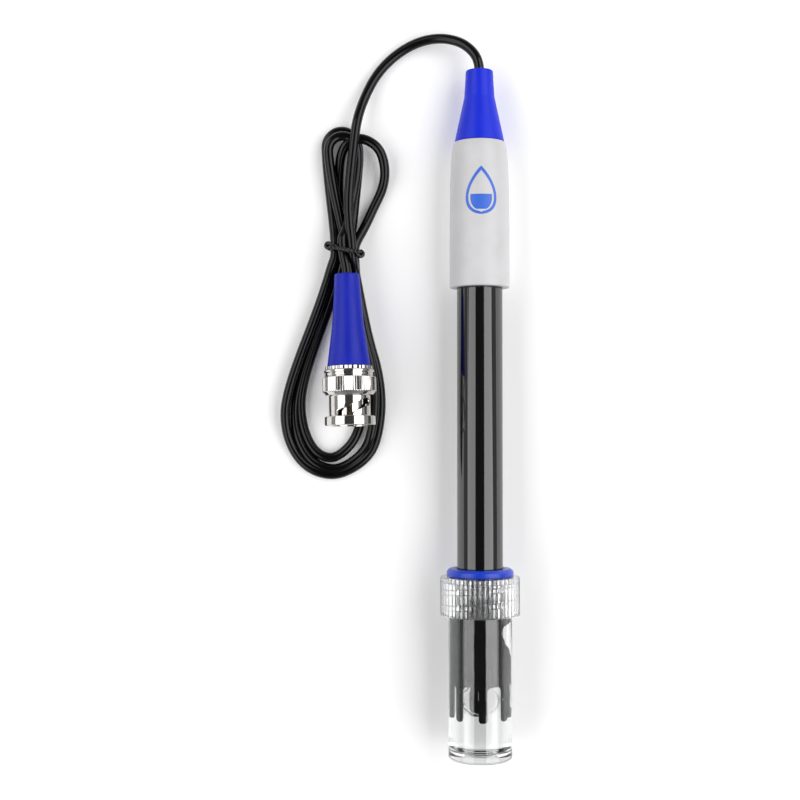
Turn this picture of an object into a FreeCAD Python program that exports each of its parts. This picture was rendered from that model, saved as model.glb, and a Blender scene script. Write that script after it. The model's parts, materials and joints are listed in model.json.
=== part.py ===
"""A combination pH electrode lying on a bench with its storage bottle on its tip and its cable in a tied hank.

The electrode, the bottle and the bottle's sealing nut share one axis.  Their pieces are drawn along their
own Z axis from the bottle's base upwards and then laid down together by one placement: the electrode rests
on the nut's rim and on the handle, so its axis dips a little from the bottle to the cable.
The plug's pieces are drawn along their own Z axis from the back of its boot to its mouth.
Millimetres, +Z up, +Y from the bottle to the cable, the origin under the middle of the electrode.
"""

import FreeCAD, Part
import math
import os
import Sketcher
from FreeCAD import Placement, Rotation, Vector

doc = FreeCAD.newDocument("ph_electrode")

# --- Driving dimensions ------------------------------------------------------------------------------
# The electrode, heights counted from the bottle's base along the axis.
ELECTRODE = [
    ("barrel_radius", 6.0, "outside of the plastic barrel"),
    ("barrel_bore", 4.9, "inside of the barrel"),
    ("tip_radius", 5.8, "outside of the barrel's lower end, a little slimmer so that the seal slides on"),
    ("barrel_step", 49.5, "height of the step above which the barrel has its full size"),
    ("guard_tip", 10.2, "height of the guard's prong tips"),
    ("guard_root", 19.4, "height of the closed ends of the guard's slots"),
    ("guard_slot_width", 4.3, "width of each slot between two prongs"),
    ("guard_slots", 3, "number of slots cut right across the guard, half the number of prongs"),
    ("bulb_radius", 3.9, "outside of the glass bulb"),
    ("bulb_wall", 0.4, "glass thickness of the bulb"),
    ("bulb_centre", 15.3, "height of the bulb's centre"),
    ("stem_radius", 2.6, "outside of the glass stem"),
    ("stem_bore", 1.9, "inside of the glass stem"),
    ("stem_top", 100.0, "height of the glass stem's open end"),
    ("tip_plug_top", 25.0, "top of the ring that closes the barrel behind the bulb"),
    ("junction_radius", 0.6, "ceramic junction and its hole"),
    ("wire_radius", 0.4, "silver wires and the cable's two conductors"),
    ("wire_offset", 3.75, "distance of the reference wire from the axis"),
    ("wire_joint", 125.2, "height at which the wires meet the conductors"),
    ("solder_radius", 0.9, "outside of a soldered joint"),
    ("stopper_base", 96.0, "underside of the stem's stopper"),
    ("top_plug_base", 108.0, "underside of the barrel's top plug"),
    ("top_plug_top", 114.0, "top of the barrel's top plug"),
    ("barrel_top", 140.0, "height at which the barrel ends in the handle"),
    ("seat_radius", 5.8, "outside of the barrel's end, glued into the handle"),
    ("glue_gap", 0.05, "room for glue between two parts"),
    ("handle_base", 123.0, "height of the handle's lower rim"),
    ("handle_radius", 7.9, "outside of the handle at its lower rim"),
    ("handle_rest", 151.5, "height at which the handle touches the bench"),
    ("handle_rest_radius", 7.7, "outside of the handle there"),
    ("handle_bore", 5.0, "inside of the handle above the barrel"),
    ("handle_top", 161.3, "height of the seam between handle and boot"),
    ("boot_radius", 6.6, "outside of the boot at the seam"),
    ("boot_spigot_base", 155.0, "underside of the boot's spigot in the handle"),
    ("boot_waist", 173.4, "height at which the boot's cone meets its neck"),
    ("boot_neck_radius", 4.0, "outside of the boot there"),
    ("boot_top", 180.1, "height of the boot's end, where the cable leaves"),
    ("boot_top_radius", 3.7, "outside of the boot's end"),
    ("cable_radius", 1.3, "outside of the cable"),
    ("cable_inner_end", 150.0, "height at which the cable's jacket ends in the handle"),
]
# The storage bottle, its nut and its seal, on the same axis.
BOTTLE = [
    ("bottle_radius", 8.35, "outside of the storage bottle"),
    ("bottle_bore", 7.2, "inside of the storage bottle"),
    ("bottle_floor", 1.6, "thickness of the bottle's base"),
    ("bottle_mouth", 43.4, "height of the bottle's rim"),
    ("bottle_crest", 8.65, "crest of the bottle's neck thread"),
    ("nut_base", 37.2, "height of the nut's lower rim"),
    ("nut_top", 47.3, "height of the nut's upper rim"),
    ("nut_radius", 10.4, "outside of the nut over its ribs"),
    ("nut_bore", 8.95, "inside of the nut"),
    ("nut_web", 45.8, "underside of the nut's web"),
    ("nut_hole", 7.3, "hole through the nut's web"),
    ("nut_bevel", 0.4, "bevel at the nut's rims"),
    ("rib_depth", 0.4, "depth of the grooves between the nut's ribs"),
    ("rib_gap", 0.35, "half the width of such a groove at the rim"),
    ("rib_count", 54, "number of ribs"),
    ("seal_base", 42.0, "lower end of the seal in the bottle's mouth"),
    ("seal_bore", 6.05, "bore of the seal, a running fit on the barrel"),
    ("seal_plug_radius", 6.9, "outside of the seal in the mouth"),
    ("seal_seat", 43.5, "underside of the seal's lower flange"),
    ("seal_seat_radius", 8.2, "outside of the lower flange"),
    ("seal_neck_radius", 7.0, "outside of the seal in the nut's web"),
    ("seal_flange", 47.4, "underside of the seal's upper flange"),
    ("seal_flange_radius", 8.75, "outside of the upper flange"),
    ("seal_top", 49.4, "top of the upper flange"),
]
# The bayonet plug, lengths counted from the back of its boot.
PLUG = [
    ("plug_boot_radius", 3.3, "outside of the plug's boot at its back"),
    ("plug_boot_front", 24.5, "length of the plug's boot"),
    ("plug_boot_front_radius", 5.7, "outside of the boot at its front"),
    ("ferrule_radius", 3.2, "outside of the crimp ferrule"),
    ("shell_tail_radius", 2.6, "outside of the shell's crimp tail"),
    ("shell_collar_radius", 6.3, "outside of the shell's scalloped collar"),
    ("shell_collar_front", 25.4, "front of that collar"),
    ("shell_barrel_radius", 4.3, "outside of the shell's barrel"),
    ("shell_barrel_front", 31.2, "front of the shell's barrel"),
    ("contact_radius", 4.05, "outside of the sprung outer contact"),
    ("contact_bore", 3.5, "inside of the outer contact"),
    ("contact_front", 38.6, "front of the outer contact"),
    ("contact_slit", 0.5, "width of the slits between its fingers"),
    ("contact_root", 33.2, "closed end of those slits"),
    ("insulator_radius", 2.4, "outside of the insulator's nose"),
    ("pin_radius", 0.675, "centre pin"),
    ("pin_front", 38.0, "front of the centre pin"),
    ("gasket_bore", 3.8, "inside of the front gasket, and outside of the contact's root in it"),
    ("gasket_radius", 4.5, "outside of the front gasket"),
    ("gasket_front", 31.9, "front of the front gasket"),
    ("ring_radius", 5.6, "outside of the retaining ring, washer and spring"),
    ("ring_base", 30.0, "back of the retaining ring"),
    ("washer_base", 29.5, "back of the thrust washer"),
    ("spring_base", 26.8, "back of the wave spring"),
    ("spring_front", 28.2, "front of the wave spring"),
    ("spring_bore", 4.65, "inside of the wave spring"),
    ("coupling_back", 25.5, "back of the bayonet coupling"),
    ("coupling_front", 40.0, "front of the bayonet coupling"),
    ("coupling_radius", 7.05, "outside of the coupling over its knurl"),
    ("coupling_hole", 4.65, "hole in the coupling's back wall"),
    ("coupling_cavity", 6.0, "inside of the coupling round the spring"),
    ("coupling_bore", 4.9, "inside of the coupling's sleeve"),
    ("sleeve_radius", 5.5, "outside of the coupling's sleeve"),
    ("sleeve_back", 32.1, "back of that sleeve"),
    ("lip_back", 37.6, "back of the coupling's front lip"),
    ("lip_radius", 6.7, "outside of the front lip"),
    ("knurl_count", 36, "number of grooves in the knurl"),
    ("knurl_depth", 0.3, "depth of those grooves"),
    ("knurl_gap", 0.3, "half the width of such a groove at the rim"),
    ("bayonet_width", 2.1, "width of the two bayonet slots"),
    ("bayonet_detent", 33.9, "place of the slots' round inner ends"),
    ("bayonet_entry", 114.5, "angle at which the first slot enters the lip, from the level"),
    ("bayonet_turn", -87.5, "turn from a slot's entry to its inner end"),
]

sheet = doc.addObject("Spreadsheet::Sheet", "Sizes")
row = 1
for alias, value, meaning in ELECTRODE + BOTTLE + PLUG:
    sheet.set(f"A{row}", meaning)
    sheet.set(f"B{row}", str(value))
    sheet.setAlias(f"B{row}", alias)
    row += 1
doc.recompute()


def cell(alias):
    """The value of one named size."""
    return float(sheet.get(alias))


# --- How the pieces lie --------------------------------------------------------------------------------
NUT_REST = cell("nut_top") - cell("nut_bevel")
TILT = math.degrees(
    math.atan((cell("nut_radius") - cell("handle_rest_radius")) / (cell("handle_rest") - NUT_REST))
)
DIP = math.sin(math.radians(TILT))
REACH = math.cos(math.radians(TILT))
AXIS_HEIGHT = cell("nut_radius") * REACH + NUT_REST * DIP
# The middle of the lying electrode's length, ends of the base disc and of the boot included.
BASE_Y = -(cell("boot_top") * REACH + (cell("boot_top_radius") - cell("bottle_radius")) * DIP) / 2
ELECTRODE_PLACE = Placement(Vector(0, BASE_Y, AXIS_HEIGHT), Rotation(Vector(1, 0, 0), -(90 + TILT)))

PLUG_BACK = Vector(-34.98, 36.7, 7.8)
PLUG_AXIS = Vector(0.98, -39.9, 2.48)
PLUG_AXIS.normalize()
PLUG_PLACE = Placement(PLUG_BACK, Rotation(Vector(0, 0, 1), PLUG_AXIS))

nodes = {}


def keep(piece, name, place):
    """Name a finished sub-part and lay it where it belongs."""
    piece.Label = name
    piece.Placement = place
    nodes[name] = piece
    return piece


# --- Ways to make a piece ------------------------------------------------------------------------------
def amount(size):
    """The formula and value of 0, of a named size, or of (a named size, a small allowance)."""
    if size == 0:
        return "0", 0.0
    alias, extra = (size, 0) if isinstance(size, str) else size
    return f"Sizes.{alias} + {extra}", cell(alias) + extra


def plane_of(body, role):
    """One of the body's own origin planes."""
    return [feature for feature in body.Origin.OriginFeatures if feature.Role == role][0]


def outline(body, role, corners):
    """A closed sketch of straight lines whose every corner is dimensioned from the sheet."""
    sketch = body.newObject("Sketcher::SketchObject", f"{body.Name}_outline")
    sketch.AttachmentSupport = [(plane_of(body, role), "")]
    sketch.MapMode = "FlatFace"
    sized = [(amount(across), amount(up)) for across, up in corners]
    places = [Vector(across[1], up[1], 0) for across, up in sized]
    count = len(places)
    for index in range(count):
        sketch.addGeometry(Part.LineSegment(places[index], places[(index + 1) % count]), False)
    for index in range(count):
        sketch.addConstraint(Sketcher.Constraint("Coincident", index, 2, (index + 1) % count, 1))
    for index, (across, up) in enumerate(sized):
        for kind, axis, (formula, value) in (("DistanceX", -2, across), ("DistanceY", -1, up)):
            if value == 0:
                sketch.addConstraint(Sketcher.Constraint("PointOnObject", index, 1, axis))
            else:
                number = sketch.addConstraint(Sketcher.Constraint(kind, -1, 1, index, 1, value))
                sketch.setExpression(f"Constraints[{number}]", formula)
    return sketch


def turned_body(name, corners):
    """A body turned about its Z axis from (radius, height) corners."""
    body = doc.addObject("PartDesign::Body", name)
    sketch = outline(body, "XZ_Plane", corners)
    turning = body.newObject("PartDesign::Revolution", f"{name}_turning")
    turning.Profile = sketch
    turning.ReferenceAxis = (sketch, ["V_Axis"])
    turning.Angle = 360
    return body


def turned(name, corners, place):
    """A turned sub-part."""
    return keep(turned_body(name, corners), name, place)


def notched(body, corners, count):
    """Cut one notch, drawn on the body's XY plane, through the body's height and repeat it round the axis."""
    doc.recompute()
    before = body.Shape.Volume
    sketch = outline(body, "XY_Plane", corners)
    notch = body.newObject("PartDesign::Pocket", f"{body.Name}_notch")
    notch.Profile = sketch
    notch.Type = "ThroughAll"
    notch.Reversed = True
    sketch.Visibility = False
    doc.recompute()
    pattern = body.newObject("PartDesign::PolarPattern", f"{body.Name}_notches")
    pattern.Originals = [notch]
    pattern.Axis = ([f for f in body.Origin.OriginFeatures if f.Role == "Z_Axis"][0], [""])
    pattern.Angle = 360
    pattern.setExpression("Occurrences", count)
    body.Tip = pattern
    doc.recompute()
    if body.Shape.Volume > before - 1e-3:
        raise RuntimeError(f"the notches of {body.Label} cut nothing")


def rod(name, radius, base, top, offset=None, place=None):
    """A round rod between two heights, on the axis or off it along X."""
    piece = doc.addObject("Part::Cylinder", name)
    piece.setExpression("Radius", amount(radius)[0])
    piece.setExpression("Height", f"({amount(top)[0]}) - ({amount(base)[0]})")
    shift = Vector(amount(offset)[1] if offset else 0, 0, amount(base)[1])
    seat = Placement(shift, Rotation())
    piece.Placement = place.multiply(seat) if place else seat
    if place:
        piece.Label = name
        nodes[name] = piece
    return piece


def ball(name, radius, centre):
    """A ball on the axis."""
    piece = doc.addObject("Part::Sphere", name)
    piece.setExpression("Radius", amount(radius)[0])
    piece.Placement = Placement(Vector(0, 0, amount(centre)[1]), Rotation())
    return piece


def joined(name, *shapes):
    """Shapes fused into one."""
    fuse = doc.addObject("Part::MultiFuse", name)
    fuse.Shapes = list(shapes)
    return fuse


def cut(name, base, tool):
    """One shape less another."""
    result = doc.addObject("Part::Cut", name)
    result.Base = base
    result.Tool = tool
    return result


def solid_feature(name, shape, place=None):
    """A sub-part whose shape is worked out here."""
    feature = doc.addObject("Part::Feature", name)
    feature.Shape = shape
    return keep(feature, name, place or Placement())


def along(points, radius, name):
    """A round tube whose path is straight runs joined by tangent arcs, and its tightest arc in diameters."""
    edges = []
    here = points[0]
    radii = []
    for before, corner, after in zip(points, points[1:], points[2:]):
        back = before - corner
        ahead = after - corner
        half_turn = (math.pi - back.getAngle(ahead)) / 2
        reach = 0.45 * min(back.Length, ahead.Length)
        bend = reach / math.tan(half_turn)
        radii.append(bend / (2 * radius))
        start = corner + back.normalize() * reach
        end = corner + ahead.normalize() * reach
        inward = (back + ahead).normalize()
        middle = corner + inward * (bend / math.cos(half_turn) - bend)
        edges.append(Part.LineSegment(here, start).toShape())
        edges.append(Part.Arc(start, middle, end).toShape())
        here = end
    edges.append(Part.LineSegment(here, points[-1]).toShape())
    path = Part.Wire(edges)
    ring = Part.Wire(Part.makeCircle(radius, points[0], points[1] - points[0]))
    shape = path.makePipeShell([ring], True, True)
    expected = math.pi * radius**2 * path.Length
    print(
        name,
        "length", round(path.Length, 1),
        "volume ratio", round(shape.Volume / expected, 4),
        "radii in diameters", [round(value, 1) for value in radii],
    )
    return shape


# --- The electrode ---------------------------------------------------------------------------------------
def make_barrel():
    """The plastic barrel, whose lower end is cut into prongs that guard the bulb."""
    tube = turned_body(
        "barrel_blank",
        [
            ("barrel_bore", "guard_tip"),
            (("tip_radius", -0.5), "guard_tip"),
            ("tip_radius", ("guard_tip", 0.6)),
            ("tip_radius", "barrel_step"),
            ("barrel_radius", ("barrel_step", 0.1)),
            ("barrel_radius", "handle_base"),
            ("seat_radius", "handle_base"),
            ("seat_radius", "barrel_top"),
            ("barrel_bore", "barrel_top"),
        ],
    )
    slots = []
    count = round(cell("guard_slots"))
    for number in range(count):
        slot = doc.addObject("Part::Box", f"guard_slot_{number + 1}")
        slot.setExpression("Length", "4 * Sizes.barrel_radius")
        slot.setExpression("Width", "Sizes.guard_slot_width")
        slot.setExpression("Height", "Sizes.guard_root")
        turn = Rotation(Vector(0, 0, 1), 180 / count * number)
        corner = Vector(-2 * cell("barrel_radius"), -cell("guard_slot_width") / 2, 0)
        slot.Placement = Placement(turn.multVec(corner), turn)
        slots.append(slot)
    return keep(cut("barrel", tube, joined("guard_slots", *slots)), "barrel", ELECTRODE_PLACE)


def make_glass_electrode():
    """The pH-sensing bulb blown on the end of its glass stem."""
    outside = joined(
        "glass_outside",
        ball("bulb_outside", "bulb_radius", "bulb_centre"),
        rod("stem_outside", "stem_radius", "bulb_centre", "stem_top"),
    )
    inside = joined(
        "glass_inside",
        ball("bulb_inside", ("bulb_radius", -cell("bulb_wall")), "bulb_centre"),
        rod("stem_inside", "stem_bore", "bulb_centre", ("stem_top", 1)),
    )
    return keep(cut("glass_electrode", outside, inside), "glass_electrode", ELECTRODE_PLACE)


def make_tip_plug():
    """The sealing ring round the stem that closes the barrel behind the bulb, with the junction's hole."""
    ring = turned_body(
        "tip_plug_ring",
        [
            (("stem_radius", cell("glue_gap")), "guard_root"),
            ("barrel_bore", "guard_root"),
            ("barrel_bore", "tip_plug_top"),
            (("stem_radius", cell("glue_gap")), "tip_plug_top"),
        ],
    )
    hole = rod("junction_hole", "junction_radius", "guard_tip", ("tip_plug_top", 5), "wire_offset")
    return keep(cut("tip_plug", ring, hole), "tip_plug", ELECTRODE_PLACE)


def make_top_plug():
    """The plug that closes the barrel's filled part, with a hole for each silver wire."""
    disc = rod("top_plug_disc", "barrel_bore", "top_plug_base", "top_plug_top")
    holes = joined(
        "wire_holes",
        rod("inner_wire_hole", "wire_radius", "stopper_base", "handle_base"),
        rod("reference_wire_hole", "wire_radius", "stopper_base", "handle_base", "wire_offset"),
    )
    return keep(cut("top_plug", disc, holes), "top_plug", ELECTRODE_PLACE)


def make_wiring():
    """The silver wires, the stem's stopper, the cable's end in the handle and what joins them."""
    rod("ceramic_junction", "junction_radius", ("guard_root", -0.3), ("tip_plug_top", 0.5), "wire_offset",
        ELECTRODE_PLACE)
    rod("inner_silver_wire", "wire_radius", "bulb_centre", "wire_joint", None, ELECTRODE_PLACE)
    rod("reference_silver_wire", "wire_radius", ("tip_plug_top", 8), "wire_joint", "wire_offset",
        ELECTRODE_PLACE)
    turned(
        "stem_stopper",
        [
            ("wire_radius", "stopper_base"),
            ("stem_bore", "stopper_base"),
            ("stem_bore", "stem_top"),
            ("wire_radius", "stem_top"),
        ],
        ELECTRODE_PLACE,
    )
    rod("cable_core", "wire_radius", "wire_joint", "cable_inner_end", None, ELECTRODE_PLACE)
    turn = cell("barrel_top")
    shield_route = [
        Vector(cell("wire_offset"), 0, cell("wire_joint")),
        Vector(cell("wire_offset"), 0, turn - 3),
        Vector(0.85, 0, cell("cable_inner_end")),
    ]
    solid_feature(
        "cable_shield_tail", along(shield_route, cell("wire_radius"), "cable_shield_tail"), ELECTRODE_PLACE
    )
    for name, offset in (("core_solder_joint", 0), ("shield_solder_joint", cell("wire_offset"))):
        base = Vector(offset, 0, cell("wire_joint") - 1.6)
        sleeve = Part.makeCylinder(cell("solder_radius"), 3.2, base)
        wire = Part.makeCylinder(cell("wire_radius"), 3.2, base)
        solid_feature(name, sleeve.cut(wire), ELECTRODE_PLACE)
    rod("cable_end", "cable_radius", "cable_inner_end", "boot_top", None, ELECTRODE_PLACE)
    turned(
        "cable_clamp",
        [
            ("cable_radius", ("cable_inner_end", 0.5)),
            (("cable_radius", 0.8), ("cable_inner_end", 0.5)),
            (("cable_radius", 0.8), ("cable_inner_end", 4.5)),
            ("cable_radius", ("cable_inner_end", 4.5)),
        ],
        ELECTRODE_PLACE,
    )


def make_handle():
    """The handle shell, straight at first and drawn in towards the boot, glued over the barrel's end."""
    turned(
        "handle",
        [
            (("seat_radius", cell("glue_gap")), "handle_base"),
            (("handle_radius", -0.3), "handle_base"),
            ("handle_radius", ("handle_base", 0.3)),
            (("handle_rest_radius", 0.15), ("handle_rest", -11.8)),
            (("handle_rest_radius", 0.08), ("handle_rest", -3.9)),
            ("handle_rest_radius", "handle_rest"),
            (("handle_rest_radius", -0.16), ("handle_rest", 4.0)),
            (("handle_rest_radius", -0.46), ("handle_rest", 7.9)),
            (("boot_radius", 0.3), "handle_top"),
            ("handle_bore", "handle_top"),
            ("handle_bore", ("barrel_top", cell("glue_gap"))),
            (("seat_radius", cell("glue_gap")), ("barrel_top", cell("glue_gap"))),
        ],
        ELECTRODE_PLACE,
    )


def make_boot():
    """The flexible boot that relieves the cable, plugged into the handle by its spigot."""
    turned(
        "strain_relief_boot",
        [
            ("cable_radius", "boot_spigot_base"),
            (("handle_bore", -0.1), "boot_spigot_base"),
            (("handle_bore", -0.1), "handle_top"),
            ("boot_radius", "handle_top"),
            ("boot_neck_radius", "boot_waist"),
            ("boot_top_radius", ("boot_top", -0.5)),
            (("boot_top_radius", -0.5), "boot_top"),
            ("cable_radius", "boot_top"),
        ],
        ELECTRODE_PLACE,
    )


# --- The storage bottle ------------------------------------------------------------------------------------
def make_bottle():
    """The clear bottle; its neck thread is a plain cylinder over the crest."""
    turned(
        "storage_bottle",
        [
            (0, 0),
            (("bottle_radius", -0.4), 0),
            ("bottle_radius", ("bottle_floor", -1.2)),
            ("bottle_radius", ("nut_base", 1.4)),
            ("bottle_crest", ("nut_base", 1.7)),
            ("bottle_crest", ("bottle_mouth", -0.8)),
            (("bottle_crest", -0.6), "bottle_mouth"),
            ("bottle_bore", "bottle_mouth"),
            ("bottle_bore", ("bottle_floor", 1.0)),
            (("bottle_bore", -1.0), "bottle_floor"),
            (0, "bottle_floor"),
        ],
        ELECTRODE_PLACE,
    )


def make_nut():
    """The ribbed nut that squeezes the seal onto the bottle's rim and the barrel."""
    body = turned_body(
        "bottle_nut",
        [
            ("nut_bore", "nut_base"),
            (("nut_radius", -cell("nut_bevel")), "nut_base"),
            ("nut_radius", ("nut_base", cell("nut_bevel"))),
            ("nut_radius", ("nut_top", -cell("nut_bevel"))),
            (("nut_radius", -cell("nut_bevel")), "nut_top"),
            ("nut_hole", "nut_top"),
            ("nut_hole", "nut_web"),
            ("nut_bore", "nut_web"),
        ],
    )
    groove = [
        (("nut_radius", 0.2), "rib_gap"),
        (("nut_radius", 0.2), 0),
        (("nut_radius", -cell("rib_depth")), 0),
    ]
    notched(body, groove, "Sizes.rib_count")
    keep(body, "bottle_nut", ELECTRODE_PLACE)


def make_seal():
    """The rubber seal, held in the nut's web between its two flanges."""
    turned(
        "bottle_seal",
        [
            ("seal_bore", "seal_base"),
            ("seal_plug_radius", "seal_base"),
            ("seal_plug_radius", "seal_seat"),
            ("seal_seat_radius", "seal_seat"),
            ("seal_seat_radius", ("nut_web", -0.1)),
            ("seal_neck_radius", ("nut_web", -0.1)),
            ("seal_neck_radius", "seal_flange"),
            ("seal_flange_radius", "seal_flange"),
            ("seal_flange_radius", ("seal_top", -0.8)),
            (("seal_flange_radius", -0.8), "seal_top"),
            (("seal_bore", 0.5), "seal_top"),
            ("seal_bore", ("seal_top", -0.5)),
        ],
        ELECTRODE_PLACE,
    )


# --- The bayonet plug ----------------------------------------------------------------------------------------
def make_plug_fixed():
    """The plug's pieces that stay with the cable."""
    turned(
        "plug_boot",
        [
            ("cable_radius", 0),
            (("plug_boot_radius", -0.3), 0),
            ("plug_boot_radius", ("cable_radius", -1.0)),
            (("plug_boot_radius", 0.25), ("plug_boot_front", -19.5)),
            (("plug_boot_radius", 0.9), ("plug_boot_front", -10.9)),
            ("plug_boot_front_radius", "plug_boot_front"),
            ("ferrule_radius", "plug_boot_front"),
            ("ferrule_radius", ("plug_boot_front", -10.5)),
            ("cable_radius", ("plug_boot_front", -10.5)),
        ],
        PLUG_PLACE,
    )
    turned(
        "plug_cable_end",
        [
            (0, 0),
            ("cable_radius", 0),
            ("cable_radius", ("plug_boot_front", -9.1)),
            ("wire_radius", ("plug_boot_front", -9.1)),
            ("wire_radius", ("plug_boot_front", -4.5)),
            (0, ("plug_boot_front", -4.5)),
        ],
        PLUG_PLACE,
    )
    turned(
        "plug_crimp_ferrule",
        [
            ("shell_tail_radius", ("plug_boot_front", -10.0)),
            ("ferrule_radius", ("plug_boot_front", -10.0)),
            ("ferrule_radius", ("plug_boot_front", -1.0)),
            ("shell_tail_radius", ("plug_boot_front", -1.0)),
        ],
        PLUG_PLACE,
    )
    shell = turned_body(
        "plug_shell",
        [
            (("cable_radius", -0.3), ("plug_boot_front", -9.0)),
            ("shell_tail_radius", ("plug_boot_front", -9.0)),
            ("shell_tail_radius", "plug_boot_front"),
            ("shell_collar_radius", "plug_boot_front"),
            ("shell_collar_radius", "shell_collar_front"),
            ("shell_barrel_radius", "shell_collar_front"),
            ("shell_barrel_radius", "shell_barrel_front"),
            ("contact_bore", "shell_barrel_front"),
            ("contact_bore", "shell_collar_front"),
            (("cable_radius", -0.3), "shell_collar_front"),
        ],
    )
    scallop = [
        (("shell_collar_radius", 0.4), ("knurl_gap", 0.6)),
        (("shell_collar_radius", 0.4), 0),
        (("shell_collar_radius", -0.5), 0),
    ]
    notched(shell, scallop, "Sizes.knurl_count / 3")
    keep(shell, "plug_shell", PLUG_PLACE)
    turned(
        "plug_insulator",
        [
            ("pin_radius", "shell_collar_front"),
            ("contact_bore", "shell_collar_front"),
            ("contact_bore", "shell_barrel_front"),
            ("insulator_radius", "shell_barrel_front"),
            ("insulator_radius", ("shell_barrel_front", 3.3)),
            ("pin_radius", ("shell_barrel_front", 3.3)),
        ],
        PLUG_PLACE,
    )
    turned(
        "plug_centre_pin",
        [
            (0, ("plug_boot_front", -4.5)),
            ("pin_radius", ("plug_boot_front", -4.5)),
            ("pin_radius", ("pin_front", -0.8)),
            (("pin_radius", -0.4), "pin_front"),
            (0, "pin_front"),
        ],
        PLUG_PLACE,
    )
    for name, inner, outer, back, front in (
        ("plug_gasket", "gasket_bore", "gasket_radius", "shell_barrel_front", "gasket_front"),
        ("plug_retaining_ring", "shell_barrel_radius", "ring_radius", "ring_base", ("ring_base", 0.6)),
        ("plug_thrust_washer", "shell_barrel_radius", "ring_radius", "washer_base", "ring_base"),
        ("plug_wave_spring", "spring_bore", "ring_radius", "spring_base", "spring_front"),
    ):
        turned(name, [(inner, back), (outer, back), (outer, front), (inner, front)], PLUG_PLACE)


def make_outer_contact():
    """The outer contact, slit into four springy fingers."""
    sleeve = turned_body(
        "contact_sleeve",
        [
            ("contact_bore", "shell_barrel_front"),
            ("gasket_bore", "shell_barrel_front"),
            ("gasket_bore", "gasket_front"),
            ("contact_radius", "gasket_front"),
            ("contact_radius", ("contact_front", -0.3)),
            (("contact_radius", -0.2), "contact_front"),
            ("contact_bore", "contact_front"),
        ],
    )
    slits = []
    for number in range(2):
        slit = doc.addObject("Part::Box", f"contact_slit_{number + 1}")
        slit.setExpression("Length", "4 * Sizes.contact_radius")
        slit.setExpression("Width", "Sizes.contact_slit")
        slit.setExpression("Height", "Sizes.contact_front")
        turn = Rotation(Vector(0, 0, 1), 45 + 90 * number)
        corner = Vector(-2 * cell("contact_radius"), -cell("contact_slit") / 2, cell("contact_root"))
        slit.Placement = Placement(turn.multVec(corner), turn)
        slits.append(slit)
    keep(cut("plug_outer_contact", sleeve, joined("contact_slits", *slits)), "plug_outer_contact", PLUG_PLACE)


def make_coupling():
    """The knurled bayonet coupling with its two ramped slots."""
    body = turned_body(
        "coupling_blank",
        [
            ("coupling_hole", "coupling_back"),
            (("coupling_radius", -0.6), "coupling_back"),
            ("coupling_radius", ("coupling_back", 1.9)),
            ("coupling_radius", ("sleeve_back", -0.9)),
            (("coupling_radius", -0.6), "sleeve_back"),
            ("sleeve_radius", "sleeve_back"),
            ("sleeve_radius", "lip_back"),
            (("lip_radius", -0.3), "lip_back"),
            ("lip_radius", ("lip_back", 0.3)),
            ("lip_radius", ("coupling_front", -0.3)),
            (("lip_radius", -0.3), "coupling_front"),
            ("coupling_bore", "coupling_front"),
            ("coupling_bore", ("ring_base", 1.0)),
            ("coupling_cavity", ("ring_base", 1.0)),
            ("coupling_cavity", ("coupling_back", 1.2)),
            ("coupling_hole", ("coupling_back", 1.2)),
        ],
    )
    groove = [
        (("coupling_radius", 0.2), "knurl_gap"),
        (("coupling_radius", 0.2), 0),
        (("coupling_radius", -cell("knurl_depth")), 0),
    ]
    notched(body, groove, "Sizes.knurl_count")
    half = cell("bayonet_width") / 2
    steps = 6
    turn_per_step = cell("bayonet_turn") / steps
    ramp_front = cell("lip_back") - 0.6
    slots = []
    for start in (cell("bayonet_entry"), cell("bayonet_entry") + 180):
        path = [(start, cell("coupling_front") + 1), (start, ramp_front)]
        for step in range(1, steps + 1):
            share = step / steps
            height = ramp_front + (cell("bayonet_detent") - ramp_front) * share
            path.append((start + turn_per_step * step, height))
        for (angle, height), (next_angle, next_height) in zip(path, path[1:]):
            mean = Rotation(Vector(0, 0, 1), (angle + next_angle) / 2)
            spread = 2 * cell("sleeve_radius") * math.sin(math.radians(next_angle - angle) / 2)
            run = math.hypot(spread, next_height - height)
            bar = Part.makeBox(8, run + 0.2, 2 * half, Vector(0, -run / 2 - 0.1, -half))
            slope = math.degrees(math.atan2(next_height - height, spread))
            bar.Placement = Placement(
                Vector(0, 0, (height + next_height) / 2), mean.multiply(Rotation(Vector(1, 0, 0), slope))
            )
            slots.append(bar)
        for angle, height in path[1:]:
            outwards = Rotation(Vector(0, 0, 1), angle).multVec(Vector(1, 0, 0))
            slots.append(Part.makeCylinder(half + 0.05, 8, Vector(0, 0, height), outwards))
    cutter = slots[0].fuse(slots[1:]).common(Part.makeCylinder(cell("sleeve_radius") + 0.2, 50))
    tool = doc.addObject("Part::Feature", "bayonet_slots")
    tool.Shape = cutter
    keep(cut("plug_coupling", body, tool), "plug_coupling", PLUG_PLACE)


# --- The cable ----------------------------------------------------------------------------------------------
# The lead leaves the boot, arches to the left and comes down over the hank's upper loops.
LEAD_ROUTE = [
    (-1.8, 98.1, 6.1),
    (-5.4, 100.9, 5.0),
    (-10.6, 102.0, 3.6),
    (-16.5, 101.2, 2.3),
    (-22.2, 98.0, 1.5),
    (-27.0, 92.4, 1.5),
    (-30.5, 85.0, 2.6),
    (-32.4, 77.8, 4.9),
    (-33.0, 71.8, 5.25),
    (-33.0, 66.3, 5.25),
]
LEAD_EXIT_RUN = 4.2
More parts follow.
